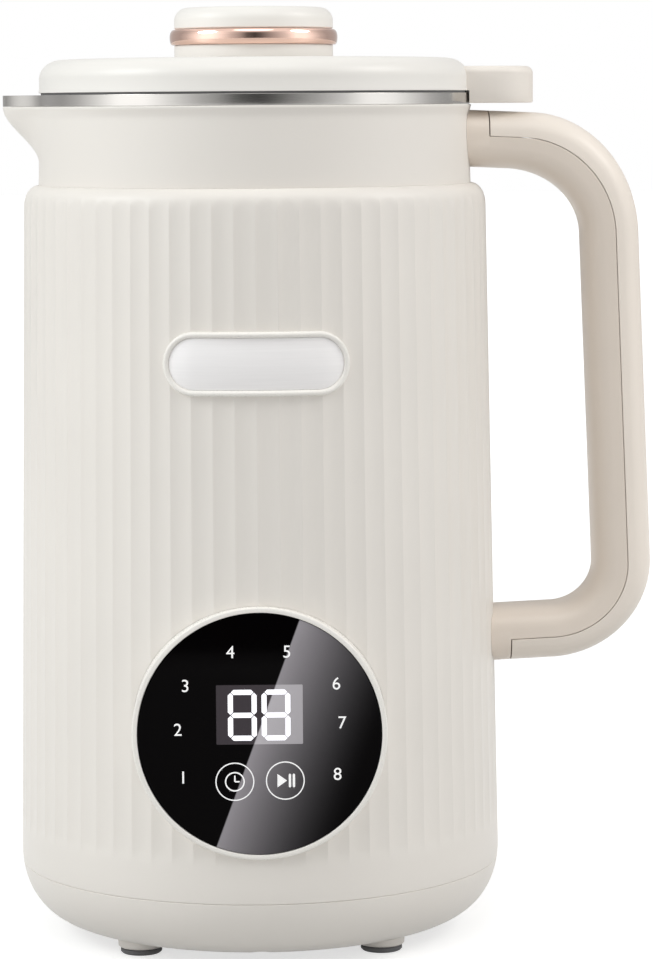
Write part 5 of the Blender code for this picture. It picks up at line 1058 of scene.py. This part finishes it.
def make_digits():
    h = DIGIT_STROKE / 2
    centre = (DIGIT_TOP + DIGIT_FOOT) / 2
    for name, left in DIGIT_LEFTS:
        right = left + DIGIT_WIDTH
        shapes = []
        for z in (DIGIT_TOP - h, centre, DIGIT_FOOT + h):
            shapes.append(bar(left + h + DIGIT_GAP, z, right - h - DIGIT_GAP, z, DIGIT_STROKE))
        for x in (left + h, right - h):
            for z0, z1 in ((DIGIT_FOOT + h, centre), (centre, DIGIT_TOP - h)):
                shapes.append(bar(x, z0 + DIGIT_GAP, x, z1 - DIGIT_GAP, DIGIT_STROKE))
        mark(name, shapes, DIGITS, 0.06)


def ring_mark(name, radius, width, place, steps=64):
    """A flat ring printed on the lens, in millimetres."""
    inner, outer = (radius - width / 2) * MM, (radius + width / 2) * MM
    front, back = LENS_FACE - 0.05 * MM, LENS_FACE + PRINT_DEPTH
    band = turned([(inner, front), (outer, front), (outer, back), (inner, back)], steps)
    piece(name, face_out(band, Z_PANEL + place[1] * MM, place[0] * MM), PRINT)


def make_number(text, x, z):
    """A plain numeral as a thin printed solid on the lens."""
    curve = bpy.data.curves.new("number_" + text, "FONT")
    curve.body = text
    curve.size = NUMBER_SIZE * MM
    curve.align_x = "CENTER"
    curve.align_y = "CENTER"
    curve.extrude = 0.15 * MM
    curve.resolution_u = 6
    source = added("number_source", curve)
    bm = bmesh.new()
    bm.from_mesh(evaluated_mesh(source))
    bpy.data.objects.remove(source, do_unlink=True)
    bmesh.ops.remove_doubles(bm, verts=bm.verts, dist=0.0001 * MM)
    for vert in bm.verts:
        px, py, pz = vert.co
        vert.co = Vector((px + x * MM, LENS_FACE + 0.10 * MM - pz, py + Z_PANEL + z * MM))
    piece("panel_number_" + text, bm, PRINT)


def make_marks():
    ring_mark("key_ring_left", 5.5, 0.34, LEFT_KEY)
    ring_mark("key_ring_right", 5.5, 0.34, RIGHT_KEY)
    ring_mark("clock_face", 2.7, 0.4, LEFT_KEY, 48)
    x, z = LEFT_KEY
    hands = [bar(x, z - 0.1, x, z + 1.9, HAND_STROKE), bar(x - 0.1, z, x + 1.5, z, HAND_STROKE)]
    mark("clock_hands", hands, PRINT)
    x, z = RIGHT_KEY
    start = in_mm((x - 2.3, z - 2.0), (x + 0.5, z), (x - 2.3, z + 2.0))
    pause = [bar(x + side, z - 2.1, x + side, z + 2.1, PAUSE_STROKE) for side in (1.35, 2.5)]
    mark("start_and_pause", [start, *pause], PRINT)
    for number, place in enumerate(NUMBER_PLACES, 1):
        make_number(str(number), *place)


# Plate


PLATE_WIDTH = 55.2 * MM
PLATE_HEIGHT = 18.7 * MM
PLATE_BAND = 1.75 * MM
PLATE_BACK = -0.4 * MM
PLATE_END_STEPS = 24
PLATE_SIDE_STEPS = 16


def on_sleeve(along, up, proud):
    z = Z_PLATE + up
    angle = along / body_radius(Z_PLATE)
    radius = body_radius(z) + proud
    return Vector((radius * math.sin(angle), -radius * math.cos(angle), z))


def plate_rings(section):
    """Rings round the plate, each at an (inset, proud) place of the section."""
    rings = []
    for inset, proud in section:
        path = stadium(PLATE_WIDTH - 2 * inset, PLATE_HEIGHT - 2 * inset, PLATE_END_STEPS, PLATE_SIDE_STEPS)
        rings.append([on_sleeve(along, up, proud) for along, up in path])
    return rings


def make_plate():
    crest = in_mm((0, 0.5), (0.15, 0.95), (0.5, 1.3), (0.9, 1.4), (1.3, 1.25), (1.6, 0.9))
    section = [(0, PLATE_BACK), *crest, (PLATE_BAND, 0.6 * MM), (PLATE_BAND, PLATE_BACK)]
    ring = loft(plate_rings(section), loop=True)
    piece("plate_frame_skin", ring, CREAM_TRIM, "plate_frame", sharp=60)
    edge = PLATE_BAND + 0.05 * MM
    rings = plate_rings([(edge, PLATE_BACK), (edge, 0.5 * MM), (PLATE_BAND + 0.2 * MM, 0.6 * MM)])
    bm = loft(rings, capped=False)
    fill_strips(bm, len(rings[0]))
    piece("plate_skin", bm, PLATE, "name_plate", sharp=60)


def fill_strips(bm, count):
    """Close both ends of the plate with strips that follow the sleeve's curve."""
    verts = list(bm.verts)
    shift = PLATE_END_STEPS // 2
    half = count // 2
    for ring in (verts[:count], verts[-count:]):
        order = ring[shift:] + ring[:shift]
        bm.faces.new((order[0], order[1], order[-1]))
        for i in range(1, half - 1):
            bm.faces.new((order[i], order[i + 1], order[-i - 1], order[-i]))
        bm.faces.new(order[half - 1:half + 2])


# Lid


LID_CORNER = (6.8 * MM, 5.8 * MM)
LID_WALL = 2.3 * MM
CROWN = 0.4 * MM
CROWN_RADIUS = 20 * MM
SCREW_BORE = 2.2 * MM


def make_lid():
    radius = RIM_RADIUS - GAP
    foot = radius + 0.2 * MM
    wide, tall = LID_CORNER
    profile = [(foot - 0.1 * MM, Z_LID), (foot, Z_LID + 0.1 * MM), (foot, Z_LID + 0.4 * MM),
               (radius, Z_LID + 1.2 * MM)]
    for sine, cosine in quarter(18):
        profile.append((radius - wide * (1 - cosine), Z_LID_TOP - CROWN - tall * (1 - sine)))
    for i in range(1, 9):
        share = i / 8
        profile.append((mix(radius - wide, CROWN_RADIUS, share), Z_LID_TOP - CROWN * (1 - smooth(share))))
    roof = Z_LID_TOP - LID_WALL
    inner = radius - LID_WALL
    profile += [(SCREW_BORE, Z_LID_TOP), (SCREW_BORE, roof), (inner - wide, roof - CROWN),
                (inner, Z_LID_TOP - CROWN - tall), (inner, Z_LID)]
    piece("lid_skin", turned(profile, WIDE_STEPS), CREAM_LID, "lid_cover", body="lid")
    make_tab()
    # A dark rubber ring under the lid's edge stands in for the shade in the gap between lid and rim: painted
    # shade.
    shade_ring_inner, shade_ring_outer = inner - 0.4 * MM, radius - 0.5 * MM
    seal_low, seal_high = Z_RIM_TOP - RIM_DROP + 0.03 * MM, Z_LID + 0.05 * MM
    profile = rounded([(shade_ring_inner, seal_low), (shade_ring_outer, seal_low), (shade_ring_outer, seal_high),
                       (shade_ring_inner, seal_high)], {1: 0.1 * MM})
    piece("lid_rim_painted_shade_ring", turned(profile, WIDE_STEPS), RUBBER, body="lid")


def tab_outline(inner_radius, high_x, half_y, corner, steps=10):
    """Outline of the tab; its inner side runs round the jug's axis."""
    points = []
    turn = math.asin(half_y / inner_radius)
    for i in range(steps):
        angle = mix(turn, -turn, i / steps)
        points.append((inner_radius * math.cos(angle), inner_radius * math.sin(angle)))
    points.append((inner_radius * math.cos(turn), -half_y))
    for side in (-1, 1):
        for i in range(steps + 1):
            angle = math.pi / 2 * (i / steps - (side < 0))
            points.append((high_x - corner + corner * math.cos(angle),
                           side * (half_y - corner) + corner * math.sin(angle)))
    return points


def make_tab():
    """The tab that reaches over the handle, with the magnet's pocket under it."""
    low, high = LOW["lid_cover"].z, Z_LID_TOP - 3.0 * MM
    root, clear = RIM_RADIUS - 2.0 * MM, RIM_RADIUS + 2 * GAP
    reach = HIGH["lid_cover"].x - AXIS_X
    half, corner, fillet = 13.0 * MM, 12.5 * MM, 2.2 * MM
    # Height, inset and inner radius: clear of the rim below the lid, rooted in the lid above
    levels = [(low, 0.5 * MM, clear), (low + 0.15 * MM, 0.15 * MM, clear), (low + 0.5 * MM, 0, clear),
              (Z_LID + 0.02 * MM, 0, clear), (Z_LID + 0.05 * MM, 0, root)]
    levels += [(high - fillet * (1 - sine), fillet * (1 - cosine), root) for sine, cosine in quarter(7)]
    rings = []
    for z, inset, inner in levels:
        rings.append(level(tab_outline(inner, reach - inset, half - inset, corner - inset * 0.6), z))
    bm = loft(rings)
    bmesh.ops.triangulate(bm, faces=[face for face in bm.faces if len(face.verts) > 4])
    tab = piece("lid_tab_skin", bm, TAB_PLASTIC, "lid_cover", body="lid")
    at = (middle("lid_magnet", "x") - AXIS_X, 0)
    carve(tab, [rod(4.8 * MM, low - 1 * MM, low + 4.6 * MM, 48, at)])


LINER_SKIRT = 57.0 * MM
LINER_RADIUS = 62.9 * MM
GASKET_RIBS = 3


def make_liner():
    """The steel inner lid and the ribbed seal round its skirt."""
    low = LOW["lid_liner"].z
    under = Z_LID + GAP
    over = under + 1.4 * MM
    inside = LINER_SKIRT - 2 * MM
    profile = rounded([(SCREW_BORE, under), (inside, under), (inside, low), (LINER_SKIRT, low),
                       (LINER_SKIRT, under), (LINER_RADIUS, under), (LINER_RADIUS, over), (SCREW_BORE, over)],
                      {1: 1.5 * MM, 2: 0.5 * MM, 3: 0.5 * MM, 5: 0.3 * MM, 6: 0.3 * MM}, 4)
    piece("liner_skin", turned(profile), STEEL, "lid_liner", body="lid")
    seal_low, seal_high = LOW["lid_gasket"].z, HIGH["lid_gasket"].z
    inner = LINER_SKIRT + 0.15 * MM
    outer = (HIGH["lid_gasket"].y - LOW["lid_gasket"].y) / 2
    profile = [(inner, seal_low)]
    for share in spread(0, 1, 24):
        rib = abs(math.sin(share * math.pi * GASKET_RIBS)) ** 0.6
        z = mix(seal_low + 0.1 * MM, seal_high - 0.1 * MM, share)
        profile.append((mix(inner + 0.9 * MM, outer, rib), z))
    profile.append((inner, seal_high))
    piece("gasket_skin", turned(profile), SILICONE, "lid_gasket", body="lid", sharp=50)


KNOB_RADIUS = 24.3 * MM
KNOB_BOSS = 19.0 * MM
KNOB_SOCKET = 5.3 * MM
KNOB_RING_RADIUS = 25.7 * MM
KNOB_CORNER = 4.0 * MM


def make_knob():
    base_top = Z_RING - 0.05 * MM
    foot = Z_LID_TOP + 0.02 * MM
    floor = Z_KNOB + 2.8 * MM
    profile = rounded([(SCREW_BORE, foot), (KNOB_RADIUS, foot), (KNOB_RADIUS, base_top),
                       (KNOB_BOSS, base_top), (KNOB_BOSS, Z_RING_TOP), (KNOB_SOCKET, Z_RING_TOP),
                       (KNOB_SOCKET, floor), (SCREW_BORE, floor)], {1: 0.1 * MM, 2: 0.3 * MM})
    piece("knob_base_skin", turned(profile), CREAM_LID, "knob_base", body="lid")
    ring_inner, ring_top = KNOB_BOSS + 0.2 * MM, Z_RING_TOP - 0.02 * MM
    profile = [(ring_inner, Z_RING)]
    for i in range(21):
        angle = math.pi * i / 20
        share = math.cos(angle)
        bulge = math.sin(angle) ** 0.75
        inset = 0.9 * MM if share > 0 else 1.6 * MM
        profile.append((KNOB_RING_RADIUS - inset * (1 - bulge), mix(ring_top, Z_RING, (share + 1) / 2)))
    profile.append((ring_inner, ring_top))
    piece("knob_ring_skin", turned(profile), ROSE, "knob_ring", body="lid", sharp=50)
    bore, stem, stem_low = 1.9 * MM, 5.0 * MM, LOW["knob_cap"].z
    profile = [(bore, Z_CAP), (bore, stem_low), (stem, stem_low), (stem, Z_CAP),
               (KNOB_RADIUS - 0.4 * MM, Z_CAP), (KNOB_RADIUS, Z_CAP + 0.35 * MM)]
    for sine, cosine in quarter(16):
        z = Z_CAP_TOP - CROWN - KNOB_CORNER * (1 - sine)
        profile.append((KNOB_RADIUS - KNOB_CORNER * (1 - cosine), z))
    for i in range(1, 7):
        share = i / 7
        profile.append((mix(KNOB_RADIUS - KNOB_CORNER, 0, share), Z_CAP_TOP - CROWN * (1 - smooth(share))))
    profile.append((0, Z_CAP_TOP))
    piece("knob_cap_skin", turned(profile, loop=False), CREAM_LID, "knob_cap", body="lid")


# Inlet


PINS = (("left", -7, -2.2), ("middle", 0, 2.2), ("right", 7, -2.2))


def inlet_recess():
    """A rectangle with two cut corners, so that the plug fits one way only."""
    half_x, half_z, chamfer = 12.6 * MM, 8.6 * MM, 4.0 * MM
    return [(-half_x, -half_z), (half_x, -half_z), (half_x, half_z - chamfer), (half_x - chamfer, half_z),
            (-half_x + chamfer, half_z), (-half_x, half_z - chamfer)]


def make_inlet():
    """Appliance inlet at the back: a rounded shroud with three flat pins."""
    back = LOW["power_inlet"].y
    shroud = prism(rounded_rectangle(16 * MM, 12 * MM, 2.9 * MM), back, INLET_FACE)
    inlet = piece("inlet_skin", face_out(shroud, Z_INLET), BLACK, "power_inlet")
    carve(inlet, [face_out(prism(inlet_recess(), back + 2 * MM, INLET_FACE + 3 * MM), Z_INLET)])
    soften(inlet, 0.35 * MM)
    for name, x, z in PINS:
        shape = prism(rounded_rectangle(1.0 * MM, 2.25 * MM, 0.4 * MM, 3), back + 1.5 * MM, back + 8.0 * MM)
        pin = piece(f"inlet_pin_{name}", face_out(shape, Z_INLET + z * MM, x * MM), POLISHED)
        soften(pin, 0.3 * MM)


# Studio


CAMERA_PLACE = (AXIS_X, -1.068, 0.2547)
CAMERA_YAW = math.radians(1.15)
CAMERA_PITCH = math.radians(6.17)
CAMERA_ROLL = math.radians(0.38)
CAMERA_LENS = 129.85
CAMERA_FRAME = 36.0
WALL_RADIUS = 1.7
WALL_HEIGHT = 1.9
FLOOR_RADIUS = 9.0
# Each softbox: place about the jug's axis, size, power, colour
SOFTBOXES = {
    "top_softbox": ((0, -0.60, 1.5), 1.0, 3.4, (1.0, 1.0, 1.0)),
    "low_fill": ((0.1, -1.25, 0.05), 0.5, 1.9, (1.0, 1.0, 1.0)),
    "left_softbox": ((-0.85, -0.25, 0.80), 0.5, 3.9, (0.96, 1.0, 1.0)),
    "right_softbox": ((0.85, -0.20, 0.90), 0.5, 3.5, (1.0, 0.98, 0.95)),
}
# Brightness of the studio wall by its way round from the camera's side, in degrees: the right is
# positive and the left negative. Two bright stretches stand at the sides and a dark gap faces the jug.
WALL_TONES = (
    (-180, 0.70), (-150, 0.50), (-120, 0.45), (-105, 0.65), (-90, 1.05), (-75, 1.60), (-58, 1.60),
    (-45, 1.15), (-30, 0.68), (-18, 0.42), (-9, 0.14), (2, 0.07), (10, 0.14), (20, 0.32), (33, 0.56),
    (46, 0.85), (60, 1.42), (76, 1.42), (92, 0.95), (105, 0.62), (120, 0.45), (150, 0.48), (180, 0.70),
)


def make_camera():
    data = bpy.data.cameras.new("camera")
    data.lens = CAMERA_LENS
    data.sensor_fit = "VERTICAL"
    data.sensor_width = CAMERA_FRAME
    data.sensor_height = CAMERA_FRAME
    data.dof.use_dof = False
    camera = added("camera", data)
    ahead = Vector((math.sin(CAMERA_YAW), math.cos(CAMERA_YAW), 0))
    right = Vector((math.cos(CAMERA_YAW), -math.sin(CAMERA_YAW), 0))
    look = ahead * math.cos(CAMERA_PITCH) - Vector((0, 0, math.sin(CAMERA_PITCH)))
    up = ahead * math.sin(CAMERA_PITCH) + Vector((0, 0, math.cos(CAMERA_PITCH)))
    across = right * math.cos(CAMERA_ROLL) - up * math.sin(CAMERA_ROLL)
    upward = right * math.sin(CAMERA_ROLL) + up * math.cos(CAMERA_ROLL)
    matrix = camera.matrix_world
    for row in range(3):
        matrix[row][:] = (across[row], upward[row], -look[row], CAMERA_PLACE[row])
    camera.matrix_world = matrix
    bpy.context.scene.camera = camera


def seen_rays(tree):
    """1 for rays that show the background: camera, glossy and transmission rays."""
    rays = node(tree, "LightPath").outputs
    both = calc("MAXIMUM", rays["Is Camera Ray"], rays["Is Glossy Ray"])
    return calc("MAXIMUM", both, rays["Is Transmission Ray"])


def make_world():
    world = bpy.data.worlds.new("studio")
    bpy.context.scene.world = world
    world.use_nodes = True
    strength = ranged(seen_rays(world.node_tree), 0.45, 1.0, 0.0, 1.0)
    fill(world.node_tree.nodes["Background"], {"Color": (1.0, 1.0, 1.0, 1.0), "Strength": strength})


def make_wall():
    """A ring of soft light and shade round the jug, seen only in reflections."""
    rings = [circle(WALL_RADIUS, z, 96) for z in (-0.01, WALL_HEIGHT)]
    wall = new_object("studio_wall", loft(rings, capped=False))
    material, shader, place = blank("studio_wall")
    tree = material.node_tree
    tree.nodes.remove(shader)
    parts = parts_from(place, (AXIS_X, 0, 0))
    turn = calc("ARCTAN2", parts["X"], calc("MULTIPLY", parts["Y"], -1.0))
    ramp = node(tree, "ValToRGB", {"Fac": calc("ADD", calc("DIVIDE", turn, math.tau), 0.5)})
    points = ramp.color_ramp.elements
    while len(points) < len(WALL_TONES):
        points.new(0.5)
    for point, (degrees, tone) in zip(points, WALL_TONES):
        point.position = (degrees + 180) / 360
        point.color = (tone / 2, tone / 2, tone / 2, 1)
    glow = node(tree, "Emission", {"Color": ramp.outputs["Color"], "Strength": 2.0}).outputs[0]
    clear = node(tree, "BsdfTransparent").outputs[0]
    fade = ranged(parts["Z"], 1.0, 0.0, WALL_HEIGHT * 0.55, WALL_HEIGHT)
    blend = node(tree, "MixShader", {"Fac": fade, 1: clear, 2: glow})
    fill(tree.nodes["Material Output"], {"Surface": blend.outputs[0]})
    wall.data.materials.append(material)
    wall.visible_camera = False


def make_softboxes():
    """Round softboxes that face the middle of the jug."""
    for name, (place, size, power, colour) in SOFTBOXES.items():
        data = bpy.data.lights.new(name, "AREA")
        data.shape = "DISK"
        data.size = size
        data.energy = power
        data.color = colour
        light = added(name, data)
        light.location = Vector(place) + Vector((AXIS_X, 0, 0))
        light.visible_glossy = name != "low_fill"
        aim = Vector((AXIS_X, 0, Z_RIM_TOP / 2)) - light.location
        light.rotation_euler = aim.to_track_quat("-Z", "Y").to_euler()


def make_floor():
    """A pale floor that melts into the white background away from the jug."""
    bm = bmesh.new()
    bmesh.ops.create_circle(bm, cap_ends=True, radius=FLOOR_RADIUS, segments=96)
    floor = new_object("floor", bm)
    material, shader, place = blank("pale_floor")
    tone = ranged(noise(place, 3.0), 0.0, 1.0)
    glow = ranged(vector_calc("LENGTH", {0: place}, "Value"), 0.645, 0.91, 0.3, 1.6)
    fill(shader, {
        "Base Color": colour_mix(tone, (0.52, 0.52, 0.516), (0.54, 0.54, 0.536)),
        "Roughness": 0.9, "Specular IOR Level": 0.1, "Emission Color": (1, 1, 1, 1),
        "Emission Strength": calc("MULTIPLY", seen_rays(shader.id_data), glow),
    })
    floor.data.materials.append(material)


def main():
    finish_frame()
    make_sleeve()
    make_collar()
    make_pot()
    make_base()
    make_handle()
    make_panel()
    make_plate()
    make_lid()
    make_liner()
    make_knob()
    make_inlet()
    make_camera()
    make_world()
    make_wall()
    make_softboxes()
    make_floor()
    bpy.context.scene.view_settings.view_transform = "Standard"


main()
